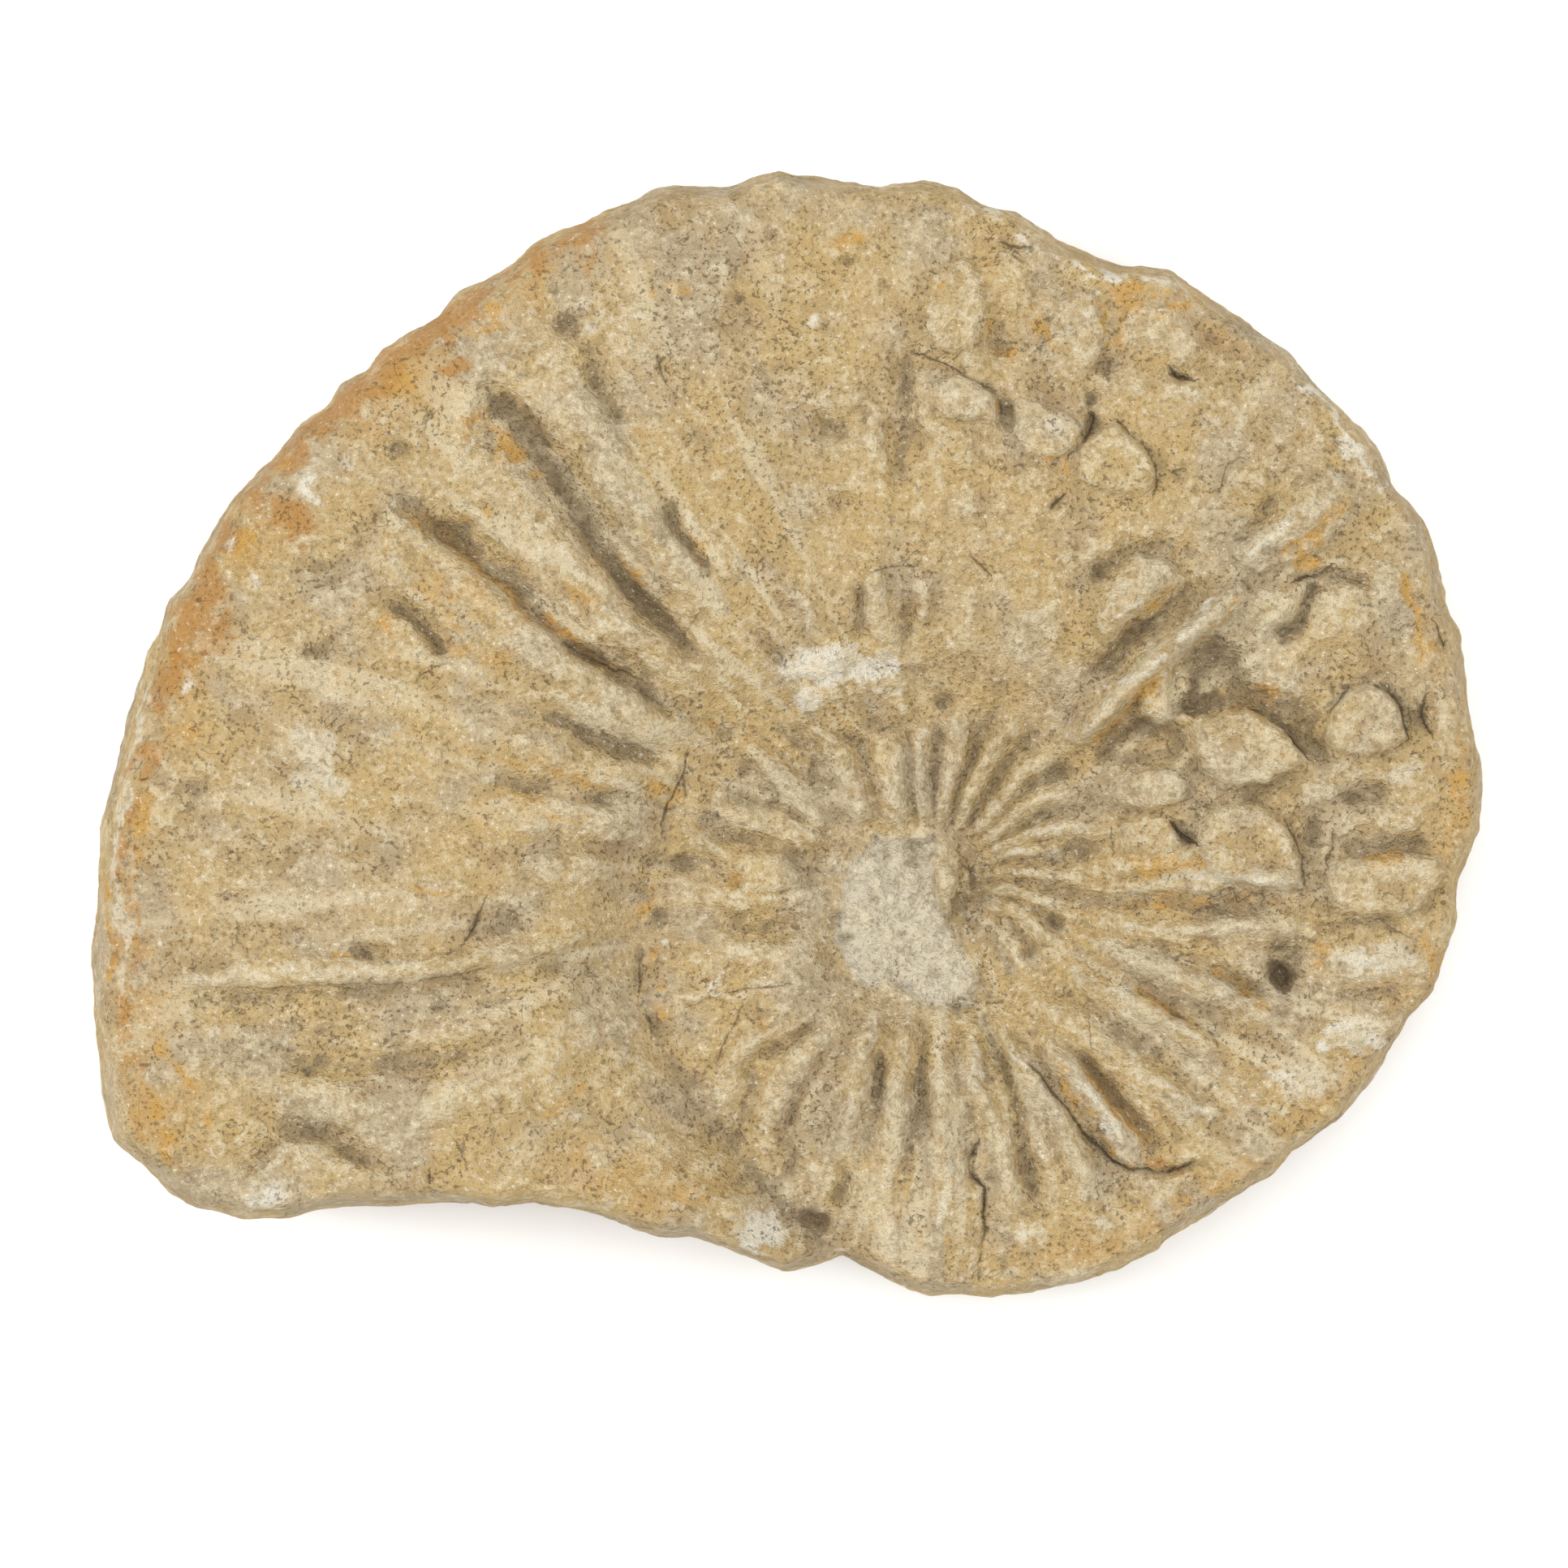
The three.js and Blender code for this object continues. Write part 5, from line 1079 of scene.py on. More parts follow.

# %% List the dirt and painted shade, and the chalk and painted highlight
# Dark stains in pits, under the overhanging edges of lumps and in crevices are dirt and painted shadow in
# one.
DIRT_AND_SHADE_OVALS = [
    (-104, -53, 8, 1.6, 4, 0.5), (-86, -54, 9, 2, 0, 0.5), (-68, -54, 8, 2, -4, 0.5),
    (-56, -50, 6, 1.6, 8, 0.5), (-100, -60, 9, 2, 0, 0.45), (-80, -62, 7, 2, 0, 0.45),
    (-94, -66, 6, 1.6, 0, 0.4), (-108, -28, 5, 1.4, 0, 0.4), (-114, -8, 2.4, 3.4, 0, 0.45),
    (-104, 20, 3, 2, 0, 0.35), (-84, 37, 4, 2, -30, 0.35), (-93, 29, 3, 2.4, 0, 0.4),
    (-50, 60, 3.4, 9, 40, 0.45), (-43, 49, 3, 9, 36, 0.45), (-56.6, 66, 2, 2.4, 0, 0.8),
    (-29, 25, 2.6, 4, 40, 0.45), (-37, 37, 2.4, 7, 40, 0.4), (-40, 43, 1.6, 3, 20, 0.7),
    (-88, 33.6, 4, 4, 0, 0.4), (-94, 16, 2, 3.4, 15, 0.5), (-77, 56, 2, 1.6, 0, 0.5),
    (-75.6, 24, 1.6, 3, 50, 0.6), (-111, 37, 0.7, 1.6, 20, 0.7), (-82.6, -42.6, 2.6, 1, -10, 0.9),
    (-52, 70.6, 1.2, 0.9, 30, 0.9), (-58, -36.6, 3, 2, 0, 0.4), (58.6, -23, 2.4, 2.8, -20, 0.9),
    (54, -7.6, 2.2, 1.6, 30, 0.8), (47, -4, 2, 1.4, 20, 0.6), (38, 1.4, 2.2, 1.6, 0, 0.6),
    (31, 6.6, 2.6, 1.8, 0, 0.8), (29, 3, 1.6, 4, 0, 0.45), (53.4, -37.4, 3.4, 1.8, -10, 0.9),
    (48, -43, 1.8, 2.4, 30, 0.6), (50, -30.8, 4, 1, -12, 0.5), (52.6, -24, 2.4, 1.4, 0, 0.5),
    (37, -28, 1.4, 5, 0, 0.4), (-21.6, -25.6, 2.6, 2.2, 20, 0.9), (-25.6, -36, 3.4, 2.8, 20, 0.7),
    (-15.4, -15.6, 2.4, 2.4, 0, 0.7), (-9, -6.6, 2, 2, 0, 0.7), (1, -1.4, 3, 2, -20, 0.5),
    (12.6, -1.6, 2.4, 1.6, 0, 0.5), (-2, -38, 12, 2, 0, 0.35), (-4, -18.8, 5, 1, -12, 0.35),
    (17.5, -38.6, 0.9, 1.1, 0, 0.7), (26, -39.6, 0.9, 2, 0, 0.5), (25, -44, 0.8, 2, 0, 0.45),
    (33.4, -45.4, 0.9, 0.9, 0, 0.6), (13.4, -42.6, 0.9, 1.2, 0, 0.5), (36, 1, 1, 5, -20, 0.3),
    (-17, 5, 2, 2, 0, 0.5), (-10.8, -56, 1, 4, 20, 0.5), (-17, -52.4, 3, 1, 20, 0.5),
    (82, 6.8, 6, 2.2, 10, 1.5), (79.6, 9, 3, 2.6, 0, 1.0), (86, 11, 9, 6, 15, 0.4),
    (80.6, 12, 1.6, 5, 0, 0.6), (98, 2.5, 5.4, 1.6, -42, 1.4), (101.5, -2, 1.4, 2.6, 20, 0.9),
    (92, 7.4, 6, 1.4, 0, 0.9), (86, 18, 4, 2, 0, 0.7), (94, 8, 6, 3, 0, 0.3), (68, 1.5, 5, 2, 10, 0.5),
    (76, -4, 3, 2, 0, 0.5), (70, -3, 7, 3, 0, 0.35), (98, -48, 2.8, 4.8, 12, 1.5),
    (98, -41, 5, 3.4, 0, 0.55), (101.6, -46, 4, 6, 0, 0.45), (92.5, -49.6, 3, 1.2, 0, 0.5),
    (63, 33.4, 3.4, 2, 45, 0.7), (70.5, 20.5, 2.6, 2, 40, 0.7), (64, 14, 2, 2.4, 20, 0.6),
    (76, 25.5, 4, 2.4, 40, 0.55), (81, 31.4, 1.8, 2.4, 0, 0.7), (78, 36, 6, 1.6, 0, 0.5),
    (103.4, 29.5, 2, 3, 20, 0.7), (98, 18, 4, 2, 20, 0.4), (108, 34, 4, 2.4, 0, 0.45),
    (59, 59.8, 1.6, 3.6, 10, 0.8), (63.4, 72, 2, 2, 0, 0.9), (60, 66, 3, 2.4, 0, 0.6),
    (42, 66, 1.3, 4, -5, 0.8), (76.8, 71.6, 1.6, 1, -30, 0.8), (77, 52.4, 1.8, 1.4, 0, 0.8),
    (42, 81, 2.4, 4, 0, 0.45), (98, 51.6, 2, 1.4, 30, 0.6), (52, 45.4, 2, 1.6, 30, 0.6),
    (104, -17, 1.8, 5, 0, 0.4), (116, -22, 9, 1.3, 0, 0.4), (116, -11.4, 3, 1, 25, 0.6),
    (126, 5, 1.6, 4, 10, 0.5), (128.6, -20, 1.6, 3, 20, 0.5), (91, 39, 2, 1.6, 0, 0.6),
    (70, 36, 4, 1.4, 0, 0.4), (78, 8, 3, 2, 0, 0.4), (48, 95.4, 4, 2, 0, 0.5), (119.6, -40, 3, 2, 0, 0.3),
    (67, -59, 4, 1.6, -20, 0.5), (76, -55.4, 5, 1.8, -25, 0.5), (83, -57.6, 3, 1.6, -20, 0.4),
    (78, -63, 6, 2, -35, 0.4),
]
DIRT_AND_SHADE_STROKES = [
    (1.4, 1.2, 0.9, [(-57.6, 65.6), (-53, 61), (-49, 56), (-45.6, 50.6), (-42, 44)]),
    (0.8, 0.8, 0.8, [(-42, 44), (-38, 38), (-34, 33.4)]),
    (0.9, 1.1, 0.9, [(-67, 40.6), (-62, 36), (-57, 31), (-51, 25.6)]),
    (0.8, 0.8, 0.9, [(34.6, -23.6), (36.4, -28), (37, -32), (35.8, -35.4)]),
    (0.6, 0.8, 0.8, [(5, 2), (10, -0.5), (15, 0), (20, 2), (24, 4.5)]),
    (1.6, 1.2, 0.9, [(-86, -42.6), (-82.4, -42), (-80.6, -44)]),
    (0.9, 0.7, 1.1, [(-79.4, -44), (-77.4, -44.4)]),
    (0.9, 0.7, 0.6, [(-99.6, -21), (-98.8, -27)]),
    (0.7, 0.6, 0.8, [(-61, -33), (-63, -40)]),
    (0.6, 0.6, 0.8, [(-71, -86), (-70.6, -90)]),
    (0.5, 0.5, 0.8, [(-65.4, -79.6), (-65, -84)]),
    (0.8, 1.2, 0.6, [(-84, -83), (-90, -80), (-97, -76)]),
    (1.2, 1.6, 0.5, [(-68, -65), (-80, -64), (-94, -65.6), (-110, -62.6)]),
    (0.5, 0.5, 0.7, [(-111.6, -35.6), (-115, -39)]),
    (0.8, 0.6, 0.8, [(-24, 6), (-30, 10), (-36, 14)]),
    (0.6, 0.8, 0.7, [(-50, 24), (-54, 28), (-59, 33)]),
    (0.8, 0.6, 0.8, [(-30, -4.4), (-37, -1.4), (-43, 2), (-49, 4.2)]),
    (0.9, 0.8, 0.7, [(-37, -13), (-46, -11.4), (-56, -9.4)]),
    (0.7, 0.8, 0.8, [(-20, -3.5), (-20.6, -9), (-22.4, -13), (-24, -18)]),
    (0.8, 0.8, 0.8, [(-29, -41), (-28.6, -49)]),
    (0.7, 0.9, 0.7, [(-27.4, -54), (-26, -58.4)]),
    (1.2, 1.6, 0.9, [(92, 5.4), (96, 3.6), (100, 0.2), (102.6, -3)]),
    (0.8, 1.0, 0.8, [(106.6, 5), (109, 9), (113, 10.4)]),
    (1.0, 1.4, 0.8, [(115, 10.2), (119, 9), (121.6, 6)]),
    (1.0, 1.6, 0.7, [(60, 12), (66, 17), (72, 22), (80, 30)]),
    (1.0, 1.0, 1.0, [(75, -16.6), (77, -19.2), (81, -21.6)]),
    (0.8, 1.4, 0.5, [(80, -34.8), (88, -35), (96, -34.6)]),
    (0.8, 1.2, 0.5, [(99, -20), (101.6, -24), (102.4, -28)]),
]
CHALK_AND_HIGHLIGHT_OVALS = [
    (-94, 48, 2.6, 4, 30, 1.0), (-110, 36, 2, 3.4, 20, 0.9), (-84.4, 60.6, 1, 1.4, 0, 1.0),
    (-104, 30, 2, 3, 30, 0.7), (-62, 58, 1.4, 2, 0, 1.1), (-118, 10, 1.6, 4, 0, 0.7),
    (-56, 72, 2, 1.4, 30, 0.7), (5, 13.6, 10, 4.4, 0, 1.7), (3, 7, 4, 4, 0, 1.3), (16, 13.4, 9, 3, 0, 1.1),
    (20, 8.6, 6, 2.4, 0, 0.5), (113, -44.6, 8, 3, -8, 1.1), (110, -57, 6, 1.6, 15, 1.1),
    (105.6, -62, 3, 2.2, 0, 1.1), (116, -60, 3, 2, 0, 1.0), (-101, -90.6, 7, 3, 6, 1.1),
    (-6, -97.6, 6, 4, -12, 1.1), (97, 41, 6, 1.4, 42, 1.1), (17.6, -57.6, 0.8, 1.4, -20, 1.2),
    (81, -28.4, 8, 0.8, 4, 1.0), (94, -28.2, 6, 1.2, 4, 1.1), (-30, 82, 2, 1.2, 20, 1.0),
    (-36, 78.6, 2.4, 1.2, 30, 0.9), (5, 82, 1.6, 1.6, 0, 0.9), (51.6, -17.6, 2.6, 0.5, 5, 1.1),
    (50, -19.6, 3, 0.5, -5, 1.0), (45, -23, 3, 0.4, 15, 0.9), (44, -27, 3.6, 0.4, 0, 0.9),
    (41, -33.8, 3, 0.5, -10, 1.0), (48, -35.4, 4, 0.6, -14, 0.9), (38.6, -36, 0.9, 0.7, 0, 1.0),
    (-25, -41, 1.6, 0.7, 0, 1.0), (-16, -42, 1.4, 0.7, 0, 1.0), (-11, -44, 1.4, 0.8, 0, 0.9),
    (8.5, -36.5, 1.1, 0.7, 0, 1.2), (7.6, -40.6, 0.8, 0.7, 0, 1.1), (11, -41, 0.9, 0.8, 0, 1.1),
    (-14, -33, 0.9, 0.7, 0, 0.9), (-2, -59, 0.9, 0.6, 0, 0.9), (15.6, -97, 1.6, 0.8, -20, 0.9),
    (17.6, -98.6, 1, 0.8, 0, 0.9), (21, -77, 0.8, 0.5, 0, 1.0), (20, -83, 1.2, 1, 0, 0.9),
    (4.6, -62, 0.7, 1, -20, 1.0), (66, -52, 5, 0.9, -30, 0.9), (91, -51.8, 4, 0.9, -35, 1.0),
    (46, -98.4, 1.4, 3.6, -10, 0.8), (50, 43, 0.6, 0.6, 0, 0.8), (84, -92, 5, 3, 30, 0.5),
    (99, -68, 5, 3, -20, 0.7), (82, -74.6, 3.4, 1, -8, 0.8), (96, -55, 5, 3, -20, 0.6),
    (60, 86.6, 7, 1.2, -6, 0.7), (48, 97, 5, 1.6, -30, 0.9), (40, 104, 4, 1.4, -20, 0.9),
    # The three ovals on the next line lie along the upper right rim, where their white is painted highlight
    # as well as pale stone.
    (110, 58, 1.6, 6, 38, 0.9), (116, 51, 1.4, 4, 35, 0.9), (104, 67, 2, 3, 42, 0.8),
    (34, 67, 4, 2.4, 0, 0.6), (60, 84, 2, 2, 0, 0.5),
]
CHALK_AND_HIGHLIGHT_STROKES = [
    (0.6, 0.8, 1.1, [(62, 5.4), (70, 12.4), (78, 20), (86, 27.6)]),
    (1.3, 1.4, 1.1, [(90.6, 35.6), (97, 40), (103, 45)]),
    # This stroke runs along the upper right rim, where its white is painted highlight as well as pale
    # stone.
    (1.1, 0.8, 0.9, [(117.6, 47), (113, 56), (106, 65), (99, 72.6)]),
    (0.8, 0.8, 0.9, [(54, 94), (60, 91), (70, 90.4), (78, 88.6)]),
    (1.0, 1.4, 1.1, [(57, -67), (60, -71.6), (63, -76), (66, -80.4)]),
    (0.7, 0.8, 1.0, [(43.6, -61), (46, -65), (48.6, -69)]),
    (0.5, 0.5, 1.0, [(31, -90), (30.8, -94), (30.2, -99)]),
    (0.5, 0.6, 0.9, [(35.8, -59), (36.4, -64), (38, -69)]),
    (0.6, 0.6, 0.8, [(55, 2), (64, 11), (73, 19)]),
    (0.8, 0.9, 1.0, [(64, 22.6), (69.4, 28.4)]),
    (0.5, 0.5, 0.9, [(0, -69), (-2, -71.4), (-4.6, -74)]),
    (0.5, 0.5, 0.8, [(-16, -50), (-10, -46)]),
]
print(len(DIRT_AND_SHADE_OVALS + DIRT_AND_SHADE_STROKES), "stains of dirt and", len(CHALK_AND_HIGHLIGHT_OVALS + CHALK_AND_HIGHLIGHT_STROKES), "of chalk")

# %% Spread the stains over the fossil
STAINS = {
    "dirt_and_shade": (
        # Each narrow groove gets a thin dark line along its bottom, which is painted shade as well as dirt.
        DIRT_AND_SHADE_OVALS, DIRT_AND_SHADE_STROKES + [(0.5, 0.8, 0.6, line) for half, _, _, line in GROOVES if half < 2],
    ),
    "chalk_and_highlight": (CHALK_AND_HIGHLIGHT_OVALS, CHALK_AND_HIGHLIGHT_STROKES),
    "ochre": (OCHRE_OVALS, OCHRE_STROKES),
    "rust": (RUST_OVALS, RUST_STROKES),
    "pale": (
        # Each rib's crest gets a pale line, which is painted highlight as well as wear.
        PALE_OVALS, PALE_STROKES + [(0.4, 0.9, 0.8, line) for _, _, _, line in LOWER_RIBS + INNER_RIBS],
    ),
    "grey": (GREY_OVALS, []),
}
BELLY_STAINS = {"dirt_and_shade": 0.1, "chalk_and_highlight": 0.15, "ochre": 0.35, "rust": 0.3, "pale": 0.55, "grey": 0.2}

STAIN_DRIFT = 2.2  # millimetres by which a stain's border wanders
SOAKED_FROM, SOAK_CONTRAST, RAGGEDNESS, STREAKINESS = 0.42, 1.2, 0.8, 0.7
RIM_FROM, RIM_BREADTH, RIM_WANDER = 0.94, 0.16, 0.1  # where the face's stains give way to the belly's

stain_x = places[:, 0] + STAIN_DRIFT * rock_noise(*places.T, 6, 4, 12)
stain_y = places[:, 1] + STAIN_DRIFT * rock_noise(*places.T, 6, 4, 13)
above_rim = fade((down - RIM_FROM - RIM_WANDER * swell) / RIM_BREADTH)
ribbed = ribbed_share(places[:, 0], places[:, 1])
stains = {}
for seed, (name, (oval_rows, stroke_rows)) in enumerate(STAINS.items()):
    mask = np.maximum(ovals(stain_x, stain_y, oval_rows, 0.1), strokes(stain_x, stain_y, stroke_rows))
    mask = BELLY_STAINS[name] + (mask - BELLY_STAINS[name]) * above_rim
    ragged = RAGGEDNESS * rock_noise(*places.T, 3.4, 5, 20 + seed)
    ragged += STREAKINESS * ribbed * streak_noise(places[:, 0], places[:, 1], 24, 3.2, 4, 25 + seed)
    soaked = 1 - fade(0.5 + SOAK_CONTRAST * (mask - SOAKED_FROM) + ragged)
    stains[name] = soaked * np.minimum(1, 3 * mask) * (0.5 + 0.5 * mask)
    print(name, "covers", round(100 * float((mask > 0.4).mean())), "percent")
stains["warm"] = strokes(stain_x, stain_y, WARM_STROKES) * on_face
stains["rock"] = inside(*shifted(places[:, 0], places[:, 1]), MATRIX, 0.9) * on_face
stains["broad"] = rock_noise(*places.T, 30, 3, 30)
stains["middling"] = rock_noise(*places.T, 8, 5, 31)
stains["hair"] = rock_noise(*places.T, 12, 5, 32)
stains["streak"] = ribbed * streak_noise(places[:, 0], places[:, 1], 20, 3.0, 5, 33) * on_face
stains["tint"] = rock_noise(*places.T, 13, 5, 34) + 0.6 * ribbed * streak_noise(
    places[:, 0], places[:, 1], 14, 2.4, 4, 35
)

# %% [markdown]
# A crack is thinner than the mesh's triangles. So each vertex keeps how far it is from the nearest
# crack, with a sign for the side that it is on. The material finds the line where that distance is
# nought, however thin, and a second, unsigned distance cuts the line off at the crack's ends.

# %% Measure the way to the nearest crack
FAR = 9.0
warped_x, warped_y = shifted(places[:, 0], places[:, 1])
crack_near, crack_side = np.full(len(places), FAR), np.full(len(places), FAR)
crack_breadth = np.full(len(places), 0.4)
for half, _, line in CRACKS:
    picked = near_points(warped_x, warped_y, line, FAR)
    away, side, _ = from_line(warped_x[picked], warped_y[picked], line)
    closer = away < crack_near[picked]
    crack_near[picked] = np.where(closer, away, crack_near[picked])
    crack_side[picked] = np.where(closer, away * side, crack_side[picked])
    crack_breadth[picked] = np.where(closer, half, crack_breadth[picked])
crack_near = np.where(on_face, crack_near, FAR)
print(int((crack_near < 1).sum()), "vertices are within a millimetre of a crack")

# %% Make the fossil's object
for vertex, place in zip(ball.verts, places * MM):
    vertex.co = place
mesh = bpy.data.meshes.new("ammonite_fossil")
ball.to_mesh(mesh)
ball.free()
mesh.shade_smooth()
cracks = {"crack_near": crack_near, "crack_side": crack_side, "crack_breadth": crack_breadth}
kept = {**depths, **stains, **cracks}
for name, values in kept.items():
    attribute = mesh.attributes.new(name, "FLOAT", "POINT")
    attribute.data.foreach_set("value", values.astype(np.float32))
fossil = bpy.data.objects.new("ammonite_fossil", mesh)
bpy.context.collection.objects.link(fossil)
print(fossil.name, "has", len(mesh.vertices), "vertices and", len(mesh.polygons), "triangles")

# %% [markdown]
# The material starts from a mottled tan and lays the stains over it one by one, each broken up by a
# small noise. Then come the dirt and painted shade in the hollows, the pale wear on the crests, specks
# of several sizes and the dark line of each crack, which is painted shade in a gap too narrow for the
# mesh. Bump adds the grain and pores that are too small for the mesh.

# %% Set up the material and its arithmetic
TAN, DEEP_TAN, YELLOW_TAN = (0.57, 0.43, 0.24), (0.46, 0.33, 0.168), (0.58, 0.41, 0.175)
OCHRE, RUST, PALE = (0.60, 0.35, 0.095), (0.50, 0.255, 0.072), (0.72, 0.64, 0.47)
GREY, ROCK = (0.34, 0.26, 0.15), (0.70, 0.625, 0.465)
DIRT_AND_SHADE_BROWN, DARK = (0.17, 0.12, 0.062), (0.08, 0.055, 0.028)
CHALK_AND_HIGHLIGHT_WHITE, PIT_DIRT_AND_SHADE, WARM = (0.80, 0.74, 0.60), (0.12, 0.085, 0.045), (0.565, 0.345, 0.125)
WEAR, FLECK = (0.75, 0.64, 0.43), (0.90, 0.84, 0.70)
ASH, SHADY_TAN = (0.49, 0.40, 0.27), (0.40, 0.29, 0.15)

limestone = bpy.data.materials.new("limestone")
limestone.use_nodes = True
tree = limestone.node_tree
coordinates = tree.nodes.new("ShaderNodeTexCoord").outputs["Object"]


def feed(socket, value):
    """Gives a socket a number or colour, or joins it to an output."""
    if isinstance(value, bpy.types.NodeSocket):
        tree.links.new(value, socket)
    elif isinstance(value, tuple) and len(value) == 3 and socket.type == "RGBA":
        socket.default_value = (*value, 1)
    else:
        socket.default_value = value


def reckon(operation, *values):
    """A Math node."""
    made = tree.nodes.new("ShaderNodeMath")
    made.operation = operation
    for socket, value in zip(made.inputs, values):
        feed(socket, value)
    return made.outputs[0]


def times(*values):
    """Two values multiplied."""
    return reckon("MULTIPLY", *values)


def plus(*values):
    """Two values added."""
    return reckon("ADD", *values)


def between(value, low, high):
    """How far a value is from low to high, from 0 to 1 with soft ends. High may be the smaller."""
    made = tree.nodes.new("ShaderNodeMapRange")
    made.interpolation_type = "SMOOTHSTEP"
    feed(made.inputs["Value"], value)
    made.inputs["From Min"].default_value, made.inputs["From Max"].default_value = low, high
    return made.outputs["Result"]


print("the arithmetic is ready")

# %% Set up the patterns and the layers


def mottle(size, detail, roughness, shift):
    """Noise with patches of a size in millimetres."""
    moved = tree.nodes.new("ShaderNodeMapping")
    feed(moved.inputs["Vector"], coordinates)
    moved.inputs["Location"].default_value = (shift, shift * 0.7, shift * 0.4)
    made = tree.nodes.new("ShaderNodeTexNoise")
    feed(made.inputs["Vector"], moved.outputs["Vector"])
    made.inputs["Scale"].default_value = 1 / (size * MM)
    made.inputs["Detail"].default_value, made.inputs["Roughness"].default_value = detail, roughness
    return made.outputs["Fac"]


def kept_number(name):
    """One of the mesh's own numbers."""
    made = tree.nodes.new("ShaderNodeAttribute")
    made.attribute_name = name
    return made.outputs["Fac"]


def blend(share, under, over):
    """Lays one colour over another."""
    made = tree.nodes.new("ShaderNodeMix")
    made.data_type = "RGBA"
    for socket, value in zip((made.inputs[0], made.inputs[6], made.inputs[7]), (share, under, over)):
        feed(socket, value)
    return made.outputs[2]


print("patterns and layers are ready")

# %% Lay the colours over one another
small, specks, grains = mottle(2.4, 6, 0.68, 0.7), mottle(0.95, 3, 0.6, 1.1), mottle(0.4, 1, 0.5, 1.7)
broad, middling = kept_number("broad"), kept_number("middling")
tint, streak, warm = kept_number("tint"), kept_number("streak"), kept_number("warm")
fine = between(small, 0.36, 0.64)
colour = blend(between(middling, -0.35, 0.35), TAN, DEEP_TAN)
MOTTLING = [  # pattern, where it starts and is full, share, colour laid over
    (broad, -0.25, 0.25, 0.5, YELLOW_TAN), (tint, 0.0, 0.5, 0.75, YELLOW_TAN),
    (tint, -0.05, -0.5, 0.6, ASH),
    (small, 0.5, 0.66, 0.5, WEAR), (small, 0.5, 0.36, 0.4, SHADY_TAN), (streak, 0.1, 0.5, 0.6, WEAR),
]
for pattern, low, high, share, over in MOTTLING:
    colour = blend(times(between(pattern, low, high), share), colour, over)


def stained(under, name, over, strength):
    """Lays a stain over a colour where the mesh says, broken up by the small noise."""
    soaked = plus(kept_number(name), times(small, 1.5))
    return blend(times(between(soaked, 0.95, 1.75), strength), under, over)


washed = times(warm, between(plus(tint, middling), -0.8, 0.4))
colour = blend(times(washed, 0.9), colour, WARM)
# The darkest layer is dirt and painted shade in pits and crevices; the chalk layer is partly painted
# highlight on the upper right rim.
LAYERS = [  # stain, colour, strength, from the lowest to the highest
    ("ochre", OCHRE, 0.95), ("rust", RUST, 0.85), ("pale", PALE, 0.8), ("chalk_and_highlight", CHALK_AND_HIGHLIGHT_WHITE, 0.9),
    ("dirt_and_shade", PIT_DIRT_AND_SHADE, 0.85),
]
for name, over, strength in LAYERS:
    colour = stained(colour, name, over, strength)
rock = kept_number("rock")
crumbly = blend(between(small, 0.32, 0.52), ASH, ROCK)
colour = blend(times(rock, 0.95), colour, crumbly)
print("the stained stone takes", len(tree.nodes), "nodes")

# %% Darken the hollows with dirt and painted shade, and lighten the crests
dent, hollow, valley = kept_number("dent"), kept_number("hollow"), kept_number("valley")
DEPTHS = [  # value, where the darkening starts and is full, share
    (valley, -0.3, 4.0, 0.25), (hollow, 0.0, 3.0, 0.75), (dent, 0.0, 0.6, 0.5),
    (streak, -0.05, -0.45, 0.35),
]
# The hollows, valleys and dents are darkened grey and then brown, and this darkening is painted shade as
# well as dirt; the grey stain adds to it.
deep = plus(times(kept_number("grey"), 0.5), times(rock, -0.3))
for pattern, low, high, share in DEPTHS:
    deep = plus(deep, times(between(pattern, low, high), share))
uneven_dirt_and_shade = plus(plus(deep, times(small, -2.2)), 0.78)
GREY_DIRT_AND_SHADE, BROWN_DIRT_AND_SHADE, CREST_WEAR = 0.55, 0.8, 0.7  # strengths
dirt_and_shade = between(uneven_dirt_and_shade, 0.0, 1.0)
colour = blend(times(dirt_and_shade, GREY_DIRT_AND_SHADE), colour, GREY)
blotched = plus(uneven_dirt_and_shade, times(specks, -2.6))
colour = blend(times(between(blotched, -0.9, 0.9), BROWN_DIRT_AND_SHADE), colour, DIRT_AND_SHADE_BROWN)
worn = times(between(plus(hollow, times(dent, 2.0)), -0.2, -1.2), fine)
colour = blend(times(worn, CREST_WEAR), colour, WEAR)
print("with dirt and wear it takes", len(tree.nodes), "nodes")

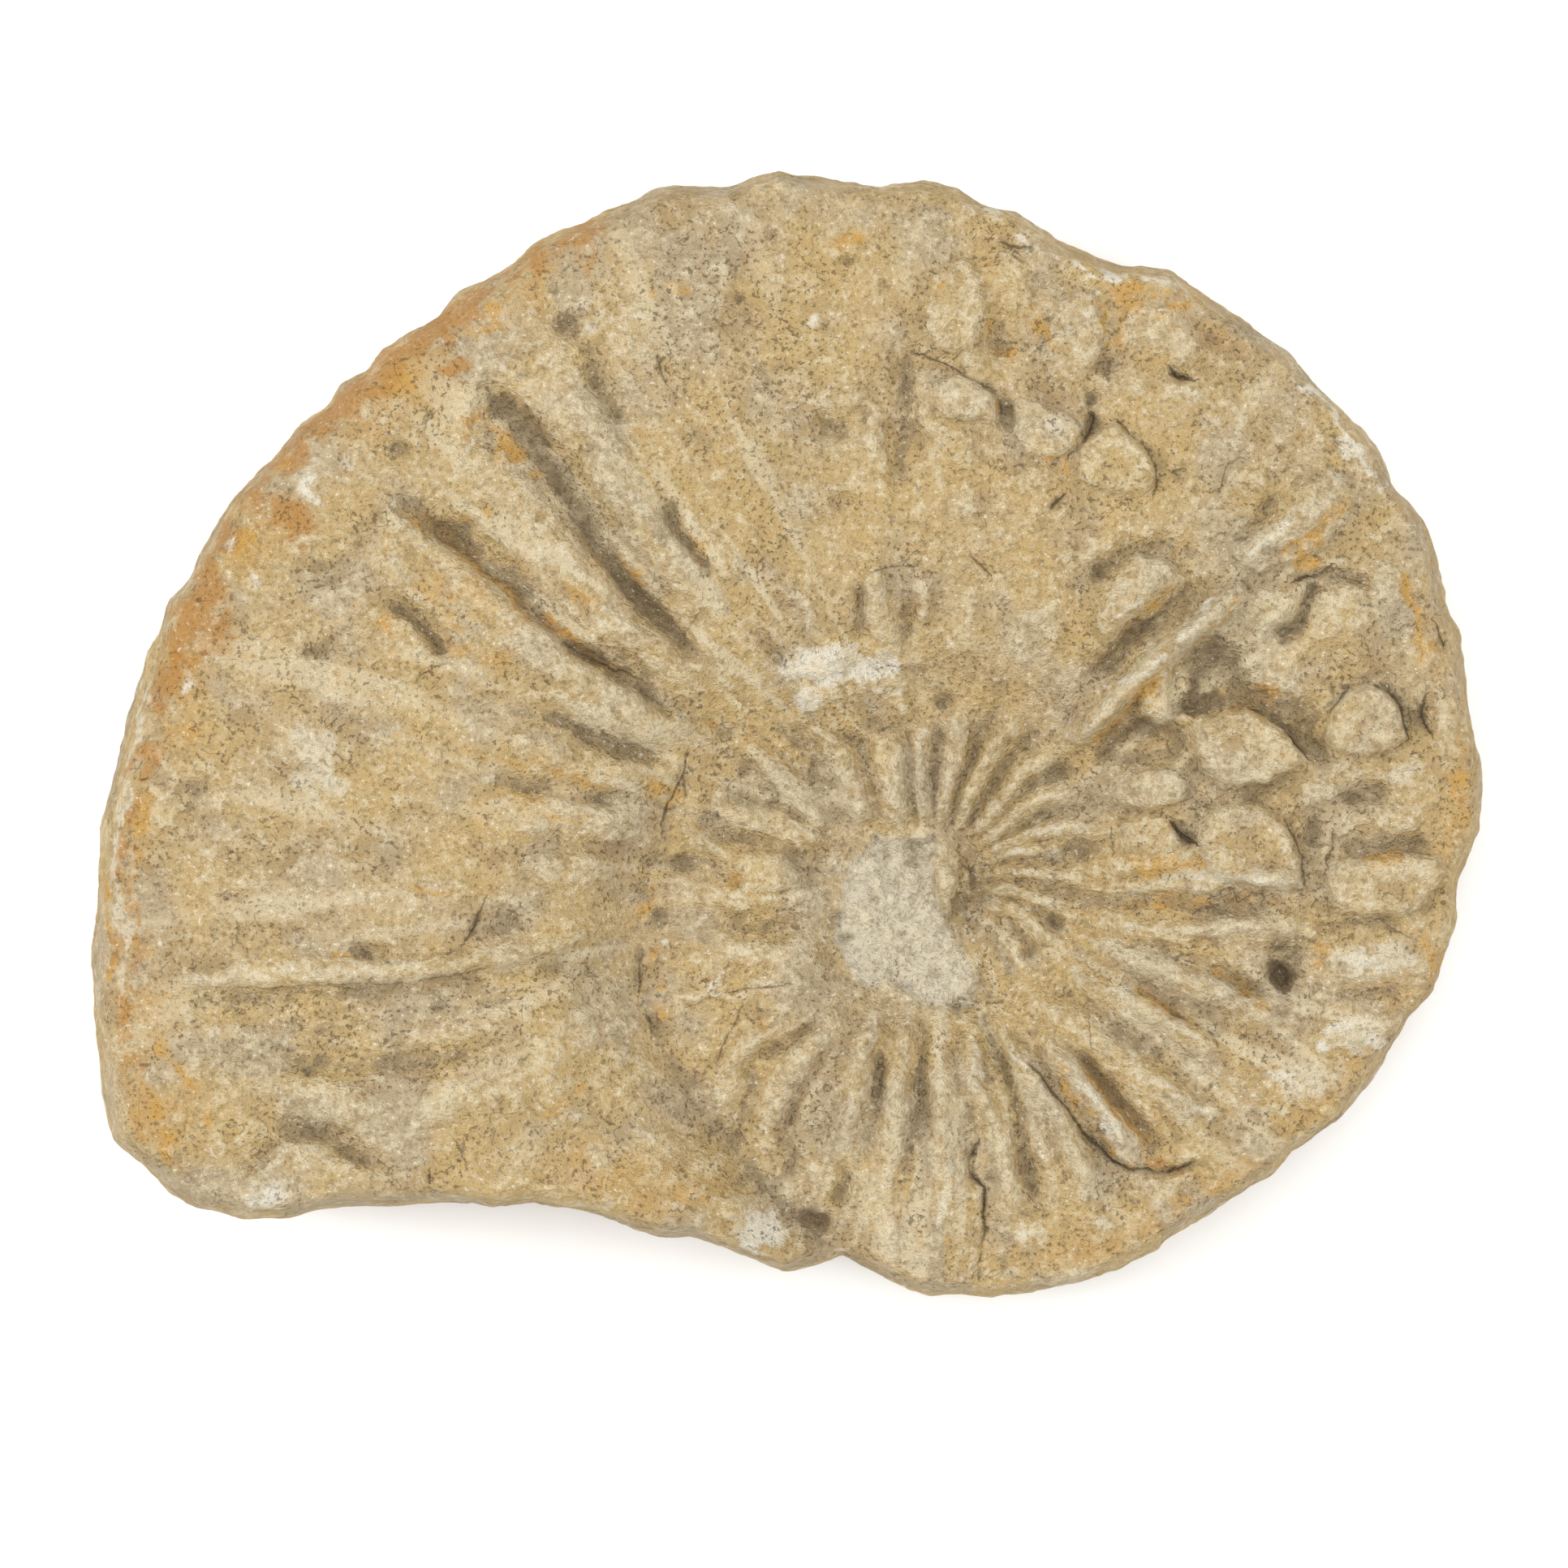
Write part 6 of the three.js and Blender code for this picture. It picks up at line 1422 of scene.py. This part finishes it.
# %% Add specks, flecks, hairlines and cracks
SPECK_STRENGTH, FLECK_STRENGTH, HAIR_STRENGTH = 0.7, 0.65, 0.6
CRACK_SHADE, CRACK_DARKNESS = 0.5, 0.8
dark_specks = between(specks, 0.57, 0.66)
speckled = plus(middling, times(kept_number("grey"), 0.7))
speckled = plus(plus(speckled, times(hollow, 0.4)), times(rock, -0.8))
speck_share = times(dark_specks, between(speckled, -0.35, 0.45))
colour = blend(times(speck_share, SPECK_STRENGTH), colour, DIRT_AND_SHADE_BROWN)
white_flecks = times(between(specks, 0.40, 0.30), between(middling, 0.5, -0.2))
colour = blend(times(white_flecks, FLECK_STRENGTH), colour, FLECK)

hair = reckon("ABSOLUTE", plus(kept_number("hair"), times(small, 0.16)))
hairline = times(between(hair, 0.022, 0.004), between(speckled, 0.1, 0.3))
colour = blend(times(hairline, HAIR_STRENGTH), colour, DIRT_AND_SHADE_BROWN)

frayed = times(reckon("SUBTRACT", small, 0.5), 1.8)
way = reckon("ABSOLUTE", plus(kept_number("crack_side"), frayed))
crack = reckon("DIVIDE", way, kept_number("crack_breadth"))
crack_end = between(kept_number("crack_near"), 1.7, 1.0)
crack_kept = times(crack_end, between(kept_number("crack_breadth"), -0.1, 0.5))
crack_kept = times(crack_kept, between(middling, -0.5, 0.1))
crack_line = times(between(crack, 0.95, 0.3), crack_kept)
crack_shade = times(between(crack, 3.4, 0.4), crack_kept)
# A crack's dark line and the band beside it are painted shade, for a gap too narrow for the mesh to shade.
colour = blend(times(crack_shade, CRACK_SHADE), colour, DIRT_AND_SHADE_BROWN)
colour = blend(times(crack_line, CRACK_DARKNESS), colour, DARK)
print("with specks and cracks it takes", len(tree.nodes), "nodes")

# %% Finish the surface and dress the fossil
surface = tree.nodes["Principled BSDF"]
feed(surface.inputs["Base Color"], colour)
feed(surface.inputs["Roughness"], plus(times(small, 0.14), 0.8))
surface.inputs["Specular IOR Level"].default_value = 0.2
relief = plus(times(small, 1.4), times(specks, 0.75))
for pattern, share in ((grains, 0.3), (dark_specks, -0.35), (crack_line, -0.9)):
    relief = plus(relief, times(pattern, share))
bump = tree.nodes.new("ShaderNodeBump")
bump.inputs["Strength"].default_value, bump.inputs["Distance"].default_value = 1.0, 1.5 * MM
feed(bump.inputs["Height"], relief)
feed(surface.inputs["Normal"], bump.outputs["Normal"])

mesh.materials.append(limestone)
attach(fossil, "root")
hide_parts("ammonite")
print("the limestone has", len(tree.nodes), "nodes")
